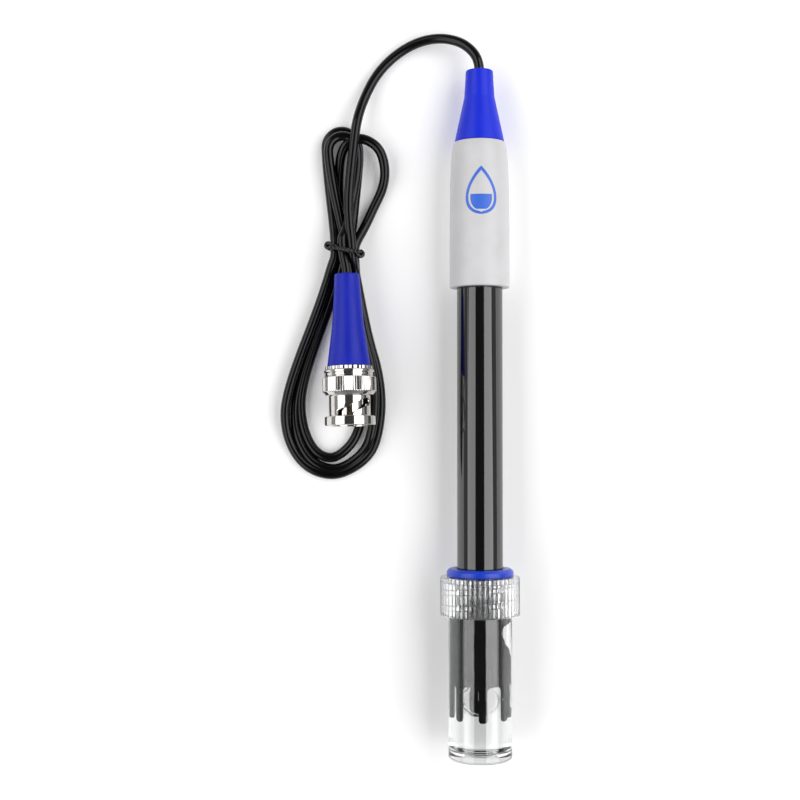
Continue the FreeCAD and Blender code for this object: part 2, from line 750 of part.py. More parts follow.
# The tail leaves the hank above the tie and climbs into the plug's boot.
TAIL_START = (-35.0, 46.5, 5.95)
TAIL_ROUTE = [
    (-35.0, 44.5, 5.95),
    (-35.0, 42.5, 6.42),
    (-35.0, 40.6, 7.25),
    (-35.03, 38.7, 7.68),
]
HANK_STEP = 3.6
HANK_TOP = 7.3
# The outer edge of the tied loops seen from above, clockwise from the left of the tie.
HANK_OUTSIDE = [
    (-39.6, 46.5), (-39.6, 51.3), (-40.1, 55.6), (-40.9, 59.9), (-41.7, 64.2), (-41.9, 68.5), (-41.4, 72.7),
    (-40.0, 75.4), (-37.9, 76.7), (-35.4, 76.0), (-33.3, 74.0), (-30.9, 73.7), (-28.7, 73.1), (-26.1, 70.6),
    (-24.2, 66.9), (-23.9, 63.7), (-24.7, 60.5), (-25.7, 57.3), (-27.2, 53.5), (-29.1, 49.2), (-31.3, 45.0),
    (-31.9, 40.6), (-31.2, 36.4), (-30.4, 32.1), (-29.7, 27.8), (-29.0, 23.5), (-28.0, 19.2), (-26.6, 14.9),
    (-25.5, 10.7), (-24.9, 6.4), (-24.8, 2.1), (-25.1, -2.2), (-26.1, -6.5), (-27.9, -10.8), (-31.6, -15.0),
    (-38.0, -17.3), (-45.5, -15.0), (-48.7, -12.9), (-51.4, -8.6), (-52.6, -4.3), (-53.0, 0.0), (-52.7, 2.1),
    (-52.2, 6.4), (-51.1, 10.7), (-49.6, 14.9), (-47.7, 19.2), (-45.7, 23.5), (-43.8, 27.8), (-41.9, 32.1),
    (-40.4, 36.4), (-39.6, 40.6),
]
# The open middle of the lower loops, and the eye of the right-hand upper loop.
HANK_EYES = [
    [
        (-38.6, 25.6), (-41.5, 19.2), (-43.2, 14.9), (-44.7, 10.7), (-46.0, 6.4), (-46.9, 2.1), (-47.2, -2.2),
        (-46.1, -6.2), (-44.5, -8.6), (-42.4, -10.1), (-39.4, -10.5), (-36.8, -9.8), (-34.6, -8.3),
        (-33.3, -6.2), (-32.6, -3.8), (-32.5, 3.7), (-32.7, 11.7), (-33.3, 19.2), (-34.4, 25.6), (-36.5, 28.9),
    ],
    [
        (-31.1, 68.5), (-30.6, 70.9), (-28.2, 68.9), (-26.6, 65.0), (-26.9, 62.1), (-27.9, 57.8), (-29.7, 54.0),
        (-31.2, 51.0), (-31.3, 55.9), (-31.1, 59.9),
    ],
]
# The upper layer of strands: the middle of the upper loops down to the tie.
HANK_UPPER = [
    (-34.6, 66.3), (-31.7, 66.3), (-31.7, 55.6), (-32.3, 50.3), (-32.1, 46.5), (-39.2, 46.5), (-38.6, 49.0),
    (-35.7, 51.4), (-34.9, 57.2),
]
TIE_Y = 43.2
TIE_HALF_WIDTH = 1.3
TIE_THICKNESS = 0.9
TIE_LEFT = -39.8
TIE_RIGHT = -31.1
TIE_TOP = 8.1
TIE_END_RADIUS = 1.0
TIE_END_LENGTH = 2.4
TIE_END_HEIGHT = 4.2
FLOOR_GAP = 0.05
TIE_ROOM = 0.3
PLUG_ROOM = 0.45


def slab(corners, low, high):
    """A flat slab between two heights with the given outline."""
    ring = [Vector(x, y, low) for x, y in corners]
    return Part.Face(Part.makePolygon(ring + ring[:1])).extrude(Vector(0, 0, high - low))


def make_cable():
    """The lead, the tied hank of three double loops, and the tail into the plug."""
    radius = cell("cable_radius")
    exit_point = ELECTRODE_PLACE.multVec(Vector(0, 0, cell("boot_top")))
    first = ELECTRODE_PLACE.multVec(Vector(0, 0, cell("boot_top") + LEAD_EXIT_RUN))
    lead = [exit_point, first] + [Vector(*point) for point in LEAD_ROUTE]
    solid_feature("cable_lead", along(lead, radius, "cable_lead"))
    tail = [Vector(*TAIL_START)] + [Vector(*point) for point in TAIL_ROUTE] + [PLUG_BACK]
    solid_feature("cable_tail", along(tail, radius, "cable_tail"))

    hank = slab(HANK_OUTSIDE, 0, HANK_STEP)
    for eye in HANK_EYES:
        hank = hank.cut(slab(eye, -1, HANK_TOP))
    hank = hank.fuse(slab(HANK_UPPER, HANK_STEP, HANK_TOP))
    # Room for the tie under the strands.
    lift = TIE_THICKNESS + FLOOR_GAP
    trench = Part.makeBox(TIE_RIGHT - TIE_LEFT + 4, 2 * (TIE_HALF_WIDTH + TIE_ROOM), lift + 1)
    trench.translate(Vector(TIE_LEFT - 2, TIE_Y - TIE_HALF_WIDTH - TIE_ROOM, -1))
    hank = hank.cut(trench)
    # Room for the plug, which lies on the lower loops.
    boot_room = Part.makeCone(
        cell("plug_boot_radius") + PLUG_ROOM, cell("plug_boot_front_radius") + PLUG_ROOM,
        cell("plug_boot_front"),
    )
    coupling_room = Part.makeCylinder(
        cell("coupling_radius") + PLUG_ROOM, cell("coupling_front") - cell("plug_boot_front") + 2,
        Vector(0, 0, cell("plug_boot_front") - 0.5),
    )
    for room in (boot_room, coupling_room):
        room.Placement = PLUG_PLACE.multiply(room.Placement)
        hank = hank.cut(room)
    solid_feature("cable_hank", hank.removeSplitter())


def make_tie():
    """The twist tie: a band round the seven strands with its two twisted ends."""
    depth = 2 * TIE_HALF_WIDTH
    outside = Part.makeBox(TIE_RIGHT - TIE_LEFT + 2 * TIE_THICKNESS, depth, TIE_TOP + TIE_THICKNESS - FLOOR_GAP)
    outside.translate(Vector(TIE_LEFT - TIE_THICKNESS, TIE_Y - TIE_HALF_WIDTH, FLOOR_GAP))
    inside = Part.makeBox(TIE_RIGHT - TIE_LEFT, depth + 2, TIE_TOP - TIE_THICKNESS - FLOOR_GAP)
    inside.translate(Vector(TIE_LEFT, TIE_Y - TIE_HALF_WIDTH - 1, TIE_THICKNESS + FLOOR_GAP))
    band = outside.cut(inside)
    for wall, side in ((TIE_LEFT - TIE_THICKNESS, -1), (TIE_RIGHT + TIE_THICKNESS, 1)):
        start = Vector(wall - 0.3 * side, TIE_Y - 0.4 * side, TIE_END_HEIGHT)
        end = Part.makeCylinder(TIE_END_RADIUS, TIE_END_LENGTH, start, Vector(side, -0.25 * side, 0.1))
        band = band.fuse(end)
    solid_feature("twist_tie", band.removeSplitter())


make_barrel()
make_glass_electrode()
make_tip_plug()
make_top_plug()
make_wiring()
make_handle()
make_boot()
make_bottle()
make_nut()
make_seal()
make_plug_fixed()
make_outer_contact()
make_coupling()
make_cable()
make_tie()
doc.recompute()

# --- Check and write ------------------------------------------------------------------------------------------
for item in doc.Objects:
    if "Invalid" in item.State or "Error" in item.State:
        raise RuntimeError(f"{item.Name} has not recomputed: {item.State}")
for name, piece in nodes.items():
    if piece.Shape.isNull() or not piece.Shape.isValid():
        raise RuntimeError(f"{name} has no valid shape")
    if len(piece.Shape.Solids) != 1:
        raise RuntimeError(f"{name} is in {len(piece.Shape.Solids)} pieces")

os.makedirs("parts", exist_ok=True)
for name, piece in nodes.items():
    piece.Shape.exportStep(f"parts/{name}.step")
print(len(nodes), "sub-parts; tilt", round(TILT, 4), "axis height", round(AXIS_HEIGHT, 3), "base", round(BASE_Y, 3))
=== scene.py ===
"""A pH electrode with its storage bottle and its tied cable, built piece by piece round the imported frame.

Outlines are given in millimetres and turned into metres by MM.  The electrode's pieces are drawn along their
own Z axis from the bottle's base, the plug's along theirs from the back of its boot, and each is then laid
on its axis by ELECTRODE or PLUG.
"""

import json
import math
from functools import partial

import bmesh
import bpy
from bpy.props import FloatProperty, FloatVectorProperty, IntProperty, PointerProperty
from mathutils import Matrix, Vector


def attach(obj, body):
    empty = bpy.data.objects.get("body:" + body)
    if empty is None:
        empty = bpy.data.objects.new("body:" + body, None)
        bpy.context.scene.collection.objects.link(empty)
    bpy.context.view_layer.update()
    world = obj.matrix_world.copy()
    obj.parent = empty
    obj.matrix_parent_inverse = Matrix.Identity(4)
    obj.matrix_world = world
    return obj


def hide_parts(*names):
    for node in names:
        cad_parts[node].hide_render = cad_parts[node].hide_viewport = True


bl_info = {
    "name": "pH Electrode Maker",
    "version": (1, 0, 0),
    "blender": (4, 5, 0),
    "location": "View3D > Sidebar > pH Electrode",
    "description": "Builds a lab pH electrode, its storage bottle, its tied cable and its bayonet plug",
    "category": "Add Mesh",
}

MM = 0.001

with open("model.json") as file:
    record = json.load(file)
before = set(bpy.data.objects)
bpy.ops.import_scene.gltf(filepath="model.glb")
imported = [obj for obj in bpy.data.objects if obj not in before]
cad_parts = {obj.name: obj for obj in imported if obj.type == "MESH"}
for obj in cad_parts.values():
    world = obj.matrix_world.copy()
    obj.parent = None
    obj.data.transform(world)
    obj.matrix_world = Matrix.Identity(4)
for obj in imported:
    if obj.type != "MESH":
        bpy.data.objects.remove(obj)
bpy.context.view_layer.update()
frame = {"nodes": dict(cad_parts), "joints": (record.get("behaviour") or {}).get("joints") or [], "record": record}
RECORD = frame["record"]
MOUNTS = {mount["name"]: mount for mount in RECORD["mounts"]}
JOINTS = {joint["name"]: joint for joint in frame["joints"]}


def axis_place(origin, direction):
    """The placement whose Z runs along direction from origin, with X as level as it can be."""
    along = Vector(direction).normalized()
    across = (Vector((1, 0, 0)) - along * along.x).normalized()
    down = along.cross(across)
    turn = Matrix((across, down, along)).transposed().to_4x4()
    return Matrix.Translation(Vector(origin)) @ turn


ELECTRODE = axis_place(MOUNTS["bottle_base"]["pos_m"], JOINTS["nut_turn"]["axis"])
PLUG_CONTACT_FROM_BACK = 35.1 * MM
PLUG_DIRECTION = Vector(JOINTS["collar_turn"]["axis"])
PLUG_BACK = Vector(MOUNTS["plug_contact"]["pos_m"]) - PLUG_DIRECTION * PLUG_CONTACT_FROM_BACK
PLUG = axis_place(PLUG_BACK, PLUG_DIRECTION)


Size = partial(FloatProperty, unit="LENGTH")
Shade = partial(FloatVectorProperty, subtype="COLOR")


# --- Settings a user would change ---------------------------------------------
class ElectrodeSettings(bpy.types.PropertyGroup):
    """Sizes of the electrode."""

    barrel_radius: Size(
        name="Barrel radius",
        description="Outside radius of the plastic barrel",
        default=MOUNTS["probe_barrel"]["dims"]["r_mm"] * MM,
    )
    barrel_bore: Size(name="Barrel bore", description="Inside radius of the barrel", default=5.1 * MM)
    guard_prongs: IntProperty(
        name="Guard prongs", description="Prongs that guard the glass bulb", default=6, min=4, max=8
    )
    guard_slot: Size(
        name="Guard slot", description="Width of a slot between two prongs", default=4.1 * MM
    )
    handle_radius: Size(
        name="Handle radius", description="Outside radius of the handle's rim", default=7.9 * MM
    )


class BottleSettings(bpy.types.PropertyGroup):
    """Sizes of the storage bottle."""

    radius: Size(name="Bottle radius", description="Outside radius of the bottle", default=8.35 * MM)
    bore: Size(name="Bottle bore", description="Inside radius of the bottle", default=7.2 * MM)
    nut_radius: Size(
        name="Nut radius", description="Radius of the nut over its ribs", default=10.4 * MM
    )
    nut_ribs: IntProperty(name="Nut ribs", description="Number of ribs", default=54, min=12, max=90)
    thread_pitch: Size(
        name="Thread pitch", description="Rise of the neck thread in one turn", default=4.0 * MM
    )


class CableSettings(bpy.types.PropertyGroup):
    """Sizes of the cable."""

    diameter: Size(name="Cable diameter", description="Outside diameter", default=2.6 * MM)
    length: Size(
        name="Cable length", description="Length from the boot to the plug", default=0.70
    )


class Finishes(bpy.types.PropertyGroup):
    """Colours of the visible materials."""

    barrel: Shade(name="Barrel", description="Black plastic", default=(0.002, 0.002, 0.0025))
    handle: Shade(name="Handle", description="Light grey plastic", default=(0.56, 0.555, 0.565))
    boot: Shade(name="Boot", description="Blue of the electrode's boot", default=(0.006, 0.022, 0.6))
    plug_boot: Shade(
        name="Plug boot", description="Blue of the plug's boot", default=(0.005, 0.014, 0.36)
    )
    seal: Shade(name="Seal", description="Blue rubber", default=(0.004, 0.04, 0.5))
    cable: Shade(name="Cable", description="Black jacket", default=(0.002, 0.002, 0.002))
    mark: Shade(name="Droplet", description="Print on the handle", default=(0.035, 0.13, 0.6))


# --- Materials ----------------------------------------------------------------
# How high up the barrel the solution reaches, how far the change runs each side of that, millimetres, and
# how strongly the barrel mirrors below and above it.
WET_TO = 43.0
WET_BLUR = 2.0
WET_SPECULAR = 0.1
DRY_SPECULAR = 1.0
# The share of a noise's span that carries nearly all its values.
NOISE_LOW = 0.3
NOISE_HIGH = 0.7


def plain_shader(name):
    """A new material with one shader, its sockets, and its node tree."""
    made = bpy.data.materials.new(name)
    made.use_nodes = True
    return made, made.node_tree, made.node_tree.nodes["Principled BSDF"].inputs


def noise(tree, size, detail=3.0, stretch=(1, 1, 1)):
    """Noise fixed to the object, whose features are about size metres across."""
    nodes = tree.nodes
    place = nodes.new("ShaderNodeTexCoord")
    mapping = nodes.new("ShaderNodeMapping")
    mapping.inputs["Scale"].default_value = stretch
    texture = nodes.new("ShaderNodeTexNoise")
    texture.inputs["Scale"].default_value = 1 / size
    texture.inputs["Detail"].default_value = detail
    tree.links.new(place.outputs["Object"], mapping.inputs["Vector"])
    tree.links.new(mapping.outputs["Vector"], texture.inputs["Vector"])
    return texture.outputs["Fac"]


def spread(tree, source, low, high):
    """Noise mapped to the span between low and high."""
    node = tree.nodes.new("ShaderNodeMapRange")
    node.inputs["From Min"].default_value = NOISE_LOW
    node.inputs["From Max"].default_value = NOISE_HIGH
    node.inputs["To Min"].default_value = low
    node.inputs["To Max"].default_value = high
    tree.links.new(source, node.inputs["Value"])
    return node.outputs["Result"]


def add_bump(tree, sockets, height, strength, distance):
    """Feed a height into the shader's normal."""
    node = tree.nodes.new("ShaderNodeBump")
    node.inputs["Strength"].default_value = strength
    node.inputs["Distance"].default_value = distance
    tree.links.new(height, node.inputs["Height"])
    tree.links.new(node.outputs["Normal"], sockets["Normal"])


def add_tint(tree, sockets, source, colour, change):
    """Let the base colour wander a little about its mean."""
    ramp = tree.nodes.new("ShaderNodeValToRGB")
    darker, lighter = ramp.color_ramp.elements
    darker.position = NOISE_LOW
    lighter.position = NOISE_HIGH
    darker.color = [part * (1 - change) for part in colour] + [1]
    lighter.color = [min(1, part * (1 + change)) for part in colour] + [1]
    tree.links.new(source, ramp.inputs["Fac"])
    tree.links.new(ramp.outputs["Color"], sockets["Base Color"])


def moulded(name, colour, rough, grain=0.0004, relief=0.05, specular=0.5):
    """Moulded plastic: even colour, faint mottling and a fine grain."""
    made, tree, sockets = plain_shader(name)
    cloud = noise(tree, 0.006)
    add_tint(tree, sockets, cloud, colour, 0.04)
    tree.links.new(spread(tree, cloud, rough * 0.85, rough * 1.15), sockets["Roughness"])
    sockets["Specular IOR Level"].default_value = specular
    add_bump(tree, sockets, noise(tree, grain, 4.0), relief, 0.00004)
    return made


def clear(name, tint, ior, rough=0.0):
    """Clear plastic, glass or liquid."""
    made, tree, sockets = plain_shader(name)
    cloud = noise(tree, 0.004)
    add_tint(tree, sockets, cloud, tint, 0.004)
    tree.links.new(spread(tree, cloud, rough, rough + 0.012), sockets["Roughness"])
    sockets["Transmission Weight"].default_value = 1.0
    sockets["IOR"].default_value = ior
    return made


def plated(name, colour, rough, brushed=0.0):
    """Bright or brushed metal, with fine turning marks round its axis where brushed."""
    made, tree, sockets = plain_shader(name)
    cloud = noise(tree, 0.0015, 2.0)
    add_tint(tree, sockets, cloud, colour, 0.03)
    tree.links.new(spread(tree, cloud, rough * 0.7, rough * 1.4), sockets["Roughness"])
    sockets["Metallic"].default_value = 1.0
    if brushed:
        add_bump(tree, sockets, noise(tree, 0.0004, 2.0, (1, 12, 1)), brushed, 0.00002)
    return made


def wetted(made):
    """Dull the reflections of a material below the soaking solution's level, where water lies on it."""
    tree = made.node_tree
    place = tree.nodes.new("ShaderNodeTexCoord")
    parts = tree.nodes.new("ShaderNodeSeparateXYZ")
    level = tree.nodes.new("ShaderNodeMapRange")
    wet = (ELECTRODE @ Vector((0, 0, WET_TO * MM))).y
    span = (wet - WET_BLUR * MM, wet + WET_BLUR * MM, WET_SPECULAR, DRY_SPECULAR)
    for socket, value in zip(level.inputs[1:5], span):
        socket.default_value = value
    tree.links.new(place.outputs["Object"], parts.inputs["Vector"])
    tree.links.new(parts.outputs["Y"], level.inputs["Value"])
    tree.links.new(level.outputs["Result"], tree.nodes["Principled BSDF"].inputs["Specular IOR Level"])
    return made


def make_materials(finishes):
    """Every finish on the object by name."""
    return {
        "barrel": wetted(moulded("black_barrel", finishes.barrel, 0.08, 0.003, 0.01)),
        "handle": moulded("light_grey_handle", finishes.handle, 0.42, 0.0006, 0.05, 0.45),
        "boot": moulded("blue_boot", finishes.boot, 0.42, 0.0005, 0.08, 0.25),
        "plug_boot": moulded("blue_plug_boot", finishes.plug_boot, 0.45, 0.0005, 0.08, 0.25),
        "seal": moulded("blue_seal", finishes.seal, 0.3, 0.0005, 0.06),
        "cable": moulded("black_cable", finishes.cable, 0.16, 0.0012, 0.03, 0.3),
        "tie": moulded("black_tie", finishes.cable, 0.25, 0.0004, 0.1),
        "mark": moulded("blue_print", finishes.mark, 0.45),
        "bottle": clear("clear_bottle", (0.985, 0.988, 0.99), 1.52),
        "nut": clear("clear_nut", (0.975, 0.98, 0.985), 1.52, 0.02),
        "solution": clear("soaking_solution", (0.99, 0.992, 0.992), 1.34),
        "glass": clear("sensing_glass", (0.99, 0.995, 0.993), 1.03),
        "nickel": plated("bright_nickel", (0.64, 0.62, 0.595), 0.07, 0.02),
        "steel": plated("spring_steel", (0.55, 0.55, 0.56), 0.25, 0.1),
        "gold": plated("gilt_pin", (0.93, 0.68, 0.3), 0.14, 0.05),
        "brass": plated("clamp_brass", (0.78, 0.6, 0.3), 0.25, 0.1),
        "silver": plated("tarnished_silver", (0.62, 0.6, 0.57), 0.35, 0.1),
        "resin": moulded("cast_resin", (0.78, 0.76, 0.7), 0.4),
        "white": moulded("white_insulator", (0.86, 0.86, 0.85), 0.45),
        "ceramic": moulded("porous_ceramic", (0.84, 0.82, 0.78), 0.8, 0.0002, 0.4),
        "sleeve": clear("translucent_sleeve", (0.95, 0.955, 0.96), 1.4, 0.05),
        "gasket": moulded("grey_gasket", (0.2, 0.2, 0.21), 0.6, 0.0003, 0.2),
    }


# Every material by the name of its finish, filled by the materials' operator.
FINISH = {}


# --- Meshes -------------------------------------------------------------------
def finish_mesh(name, vertices, faces, place, finish, sharp=38):
    """Make an object from metres in the piece's own frame, smooth but for its sharp edges."""
    mesh = bpy.data.meshes.new(name)
    mesh.from_pydata(vertices, [], faces)
    mesh.transform(place)
    tidy = bmesh.new()
    tidy.from_mesh(mesh)
    bmesh.ops.recalc_face_normals(tidy, faces=tidy.faces)
    tidy.to_mesh(mesh)
    tidy.free()
    mesh.shade_smooth()
    mesh.set_sharp_from_angle(angle=math.radians(sharp))
    piece = bpy.data.objects.new(name, mesh)
    bpy.context.scene.collection.objects.link(piece)
    piece.data.materials.append(FINISH[finish])
    return piece


def on_ring(radius, angle, height):
    """The point in metres at a radius and height in millimetres and an angle about Z."""
    return radius * math.cos(angle) * MM, radius * math.sin(angle) * MM, height * MM


def rounded(corners, closed, steps=5):
    """Outline points from (radius, height, rounding) corners, each corner rounded by a short curve."""
    points = []
    count = len(corners)
    for index, (radius, height, rounding) in enumerate(corners):
        here = Vector((radius, height))
        if rounding == 0 or (not closed and index in (0, count - 1)):
            points.append(here)
            continue
        before = Vector(corners[index - 1][:2]) - here
        after = Vector(corners[(index + 1) % count][:2]) - here
        half = before.angle(after) / 2
        reach = min(rounding / math.tan(half), 0.49 * before.length, 0.49 * after.length)
        start = here + before.normalized() * reach
        end = here + after.normalized() * reach
        for step in range(steps + 1):
            share = step / steps
            points.append(start * (1 - share) ** 2 + here * 2 * share * (1 - share) + end * share**2)
    return points


def lathe(name, corners, place, finish, segments=128, swell=None, sharp=38):
    """Turn an outline of (radius, height, rounding) corners in millimetres about Z.

    An outline that starts and ends on the axis is a solid of its own; any other is a closed ring section.
    swell(angle, radius, height) may move a point's radius.
    """
    closed = corners[0][0] > 0
    outline = rounded(corners, closed)
    vertices = []
    rings = []
    for radius, height in outline:
        if radius == 0:
            rings.append([len(vertices)])
            vertices.append((0, 0, height * MM))
            continue
        ring = []
        for step in range(segments):
            angle = 2 * math.pi * step / segments
            out = swell(angle, radius, height) if swell else radius
            ring.append(len(vertices))
            vertices.append(on_ring(out, angle, height))
        rings.append(ring)
    pairs = list(zip(rings, rings[1:]))
    if closed:
        pairs.append((rings[-1], rings[0]))
    faces = []
    for low, high in pairs:
        for step in range(segments):
            after = (step + 1) % segments
            if len(low) == 1:
                faces.append((low[0], high[after], high[step]))
            elif len(high) == 1:
                faces.append((low[step], low[after], high[0]))
            else:
                faces.append((low[step], low[after], high[after], high[step]))
    return finish_mesh(name, vertices, faces, place, finish, sharp)


def apply_modifiers(piece):
    """Bake a piece's modifiers into its mesh."""
    graph = bpy.context.evaluated_depsgraph_get()
    baked = bpy.data.meshes.new_from_object(piece.evaluated_get(graph))
    old = piece.data
    piece.modifiers.clear()
    piece.data = baked
    bpy.data.meshes.remove(old)


def carve(piece, cutters, bevel=0.0, sharp=38):
    """Cut the cutters out of a piece, break the new edges and remove the cutters."""
    for cutter in cutters:
        boolean = piece.modifiers.new("cut", "BOOLEAN")
        boolean.operation = "DIFFERENCE"
        boolean.solver = "MANIFOLD"
        boolean.object = cutter
    if bevel:
        edge = piece.modifiers.new("edge", "BEVEL")
        edge.width = bevel * MM
        edge.segments = 2
        edge.limit_method = "ANGLE"
        edge.angle_limit = math.radians(sharp)
    bpy.context.view_layer.update()
    apply_modifiers(piece)
    for cutter in cutters:
        bpy.data.objects.remove(cutter)
    piece.data.shade_smooth()
    piece.data.set_sharp_from_angle(angle=math.radians(sharp))


def prism(name, outline, depth, place, finish):
    """A prism through an outline of (x, z) points in millimetres, depth thick on each side of Y."""
    count = len(outline)
    vertices = [(x * MM, side * depth * MM, z * MM) for side in (-1, 1) for x, z in outline]
    faces = [tuple(range(count)), tuple(range(2 * count - 1, count - 1, -1))]
    for index in range(count):
        after = (index + 1) % count
        faces.append((index, after, count + after, count + index))
    return finish_mesh(name, vertices, faces, place, finish)


def ladder(name, rungs, inner, place, finish):
    """A curved block from rungs of (left angle, left height, right angle, right height, outer radius)."""
    vertices = []
    for left, left_height, right, right_height, outer in rungs:
        for radius in (inner, outer):
            for angle, height in ((left, left_height), (right, right_height)):
                vertices.append(on_ring(radius, angle, height))
    faces = [(0, 1, 3, 2)]
    for index in range(len(rungs) - 1):
        base = 4 * index
        for first, second in ((0, 1), (1, 3), (3, 2), (2, 0)):
            faces.append((base + first, base + second, base + 4 + second, base + 4 + first))
    last = 4 * (len(rungs) - 1)
    faces.append((last, last + 2, last + 3, last + 1))
    return finish_mesh(name, vertices, faces, place, finish)


def tube(name, points, radius, finish, sides=10):
    """A round tube of that radius in metres along points, its ends closed."""
    vertices = []
    normal = None
    for index, point in enumerate(points):
        ahead = points[min(index + 1, len(points) - 1)] - points[max(index - 1, 0)]
        ahead.normalize()
        normal = normal or ahead.orthogonal()
        normal = (normal - ahead * normal.dot(ahead)).normalized()
        side = ahead.cross(normal)
        for step in range(sides):
            angle = 2 * math.pi * step / sides
            vertices.append(point + (normal * math.cos(angle) + side * math.sin(angle)) * radius)
    faces = []
    for index in range(len(points) - 1):
        for step in range(sides):
            after = (step + 1) % sides
            low = index * sides
            faces.append((low + step, low + after, low + sides + after, low + sides + step))
    faces.append(tuple(range(sides)))
    faces.append(tuple(range(len(vertices) - 1, len(vertices) - 1 - sides, -1)))
    return finish_mesh(name, [tuple(vertex) for vertex in vertices], faces, Matrix.Identity(4), finish, 60)


def settle(piece, body, slot, *nodes):
    """Let a piece ride on a body and stand for CAD nodes; the slot is not used."""
    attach(piece, body)
    if nodes:
        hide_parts(*nodes)
    return piece


def smooth_step(low, high, value):
    """0 below low, 1 above high, with a smooth rise between."""
    share = min(1.0, max(0.0, (value - low) / (high - low)))
    return share * share * (3 - 2 * share)


# --- The electrode ------------------------------------------------------------
# Heights along the electrode from the bottle's base, millimetres.
GUARD_TIP = 10.2
GUARD_ROOT = 19.4
BARREL_TOP = 139.9
BULB_CENTRE = 15.3
STEM_TOP = 100.0
HANDLE_BASE = 123.0
HANDLE_TOP = 161.25
# The side that faces up as the electrode lies, and how far the first slot stands from the X axis.
FRONT = -math.pi / 2
GUARD_TURN = math.radians(93)
BULB_RADIUS = 3.9
BULB_WALL = 0.35


def make_barrel(sizes):
    """The black barrel with the prongs that guard the bulb."""
    outer = sizes.barrel_radius / MM
    bore = sizes.barrel_bore / MM
    rings = [(outer, height, 0) for height in (12.0, 14.0, 16.0, 18.0, 20.0, 22.0, 30.0, 60.0)]
    inside = [(bore, height, 0) for height in (30.0, 22.0, 20.0, 18.0, 16.0, 14.0, 12.0)]
    barrel = lathe(
        "barrel_tube",
        [(bore, GUARD_TIP, 0.25), (outer, GUARD_TIP, 0.45)] + rings
        + [(outer, BARREL_TOP, 0), (bore, BARREL_TOP, 0)] + inside,
        ELECTRODE,
        "barrel",
        180,
    )
    half = sizes.guard_slot / MM / 2
    flare = 0.75
    corner = 1.3
    arc = [math.radians(step * 15) for step in range(7)]
    right = [(half + flare, GUARD_TIP - 4)]
    right += [
        (half + flare - flare * math.sin(angle), GUARD_TIP + flare * (1 - math.cos(angle)) * 1.4)
        for angle in arc
    ]
    right += [
        (half - corner * (1 - math.cos(angle)), GUARD_ROOT - corner * (1 - math.sin(angle)))
        for angle in arc
    ]
    outline = right + [(-x, z) for x, z in reversed(right)]
    cutters = []
    for number in range(sizes.guard_prongs // 2):
        turn = Matrix.Rotation(2 * math.pi * number / sizes.guard_prongs + GUARD_TURN, 4, "Z")
        cutters.append(prism("slot_cutter", outline, 8, ELECTRODE @ turn, "barrel"))
    carve(barrel, cutters, 0.14)
    return settle(barrel, "root", "black_plastic", "barrel")


def make_bulb():
    """The glass bulb blown on its stem."""
    inside = BULB_RADIUS - BULB_WALL
    angles = [math.radians(-90 + step * 11.6) for step in range(1, 13)]

    def round_part(radius):
        return [(radius * math.cos(angle), BULB_CENTRE + radius * math.sin(angle), 0) for angle in angles]

    outline = [(0, BULB_CENTRE - BULB_RADIUS, 0)] + round_part(BULB_RADIUS)
    outline += [(2.6, 19.6, 0.8), (2.6, STEM_TOP, 0.2), (1.9, STEM_TOP, 0), (1.9, 19.4, 0.8)]
    outline += round_part(inside)[::-1] + [(0, BULB_CENTRE - inside, 0)]
    piece = lathe("glass_bulb", outline, ELECTRODE, "glass", 64)
    return settle(piece, "root", "glass", "glass_electrode")


# The handle's side above its straight part: radius and height.
HANDLE_OUTLINE = [
    (7.86, 139.7), (7.79, 147.6), (7.71, 151.5), (7.54, 155.5), (7.24, 159.4), (6.88, HANDLE_TOP),
]


def handle_radius(height):
    """Outside radius of the handle at a height, in millimetres."""
    for (low, below), (high, above) in zip(HANDLE_OUTLINE, HANDLE_OUTLINE[1:]):
        if height <= above:
            return low + (high - low) * max(0.0, (height - below) / (above - below))
    return HANDLE_OUTLINE[-1][0]


def make_handle(sizes):
    """The handle shell."""
    outer = sizes.handle_radius / MM
    bore = sizes.barrel_radius / MM + 0.04
    outline = [(bore, HANDLE_BASE, 0.15), (outer, HANDLE_BASE, 0.35)]
    outline += [(radius, height, 6) for radius, height in HANDLE_OUTLINE[:-1]]
    outline += [(*HANDLE_OUTLINE[-1], 0.2), (4.95, HANDLE_TOP, 0), (4.95, 140.4, 0), (bore, 140.0, 0)]
    piece = lathe("handle_shell", outline, ELECTRODE, "handle", 160)
    return settle(piece, "root", "light_grey_plastic", "handle")


def make_boot():
    """The blue boot that relieves the cable."""
    outline = [
        (1.32, 180.5, 0.15), (3.6, 180.5, 0.45), (3.7, 178.0, 0), (4.0, 173.4, 4), (6.62, 161.35, 0.25),
        (4.9, 161.35, 0), (4.9, 155.0, 0), (1.32, 155.0, 0),
    ]
    piece = lathe("cable_boot", outline, ELECTRODE, "boot", 128)
    return settle(piece, "root", "blue_boot", "strain_relief_boot")


DROPLET_CENTRE = 147.6
DROPLET_HEIGHT = 12.6
DROPLET_WIDTH = 8.2
DROPLET_STROKE = 0.75
LEVEL_GAP = 0.55
PRINT_THICKNESS = 0.025


def droplet_edge(share, shrink=0.0):
    """Half the droplet's width at a share of its height, for a droplet shrunk by that many millimetres."""
    turn = math.acos(1 - 2 * min(1.0, max(0.0, share)))
    half = DROPLET_WIDTH / 2 - shrink
    return half * math.sin(turn) * math.sqrt(max(0.0, (1 - share) ** 0.9)) * 1.3


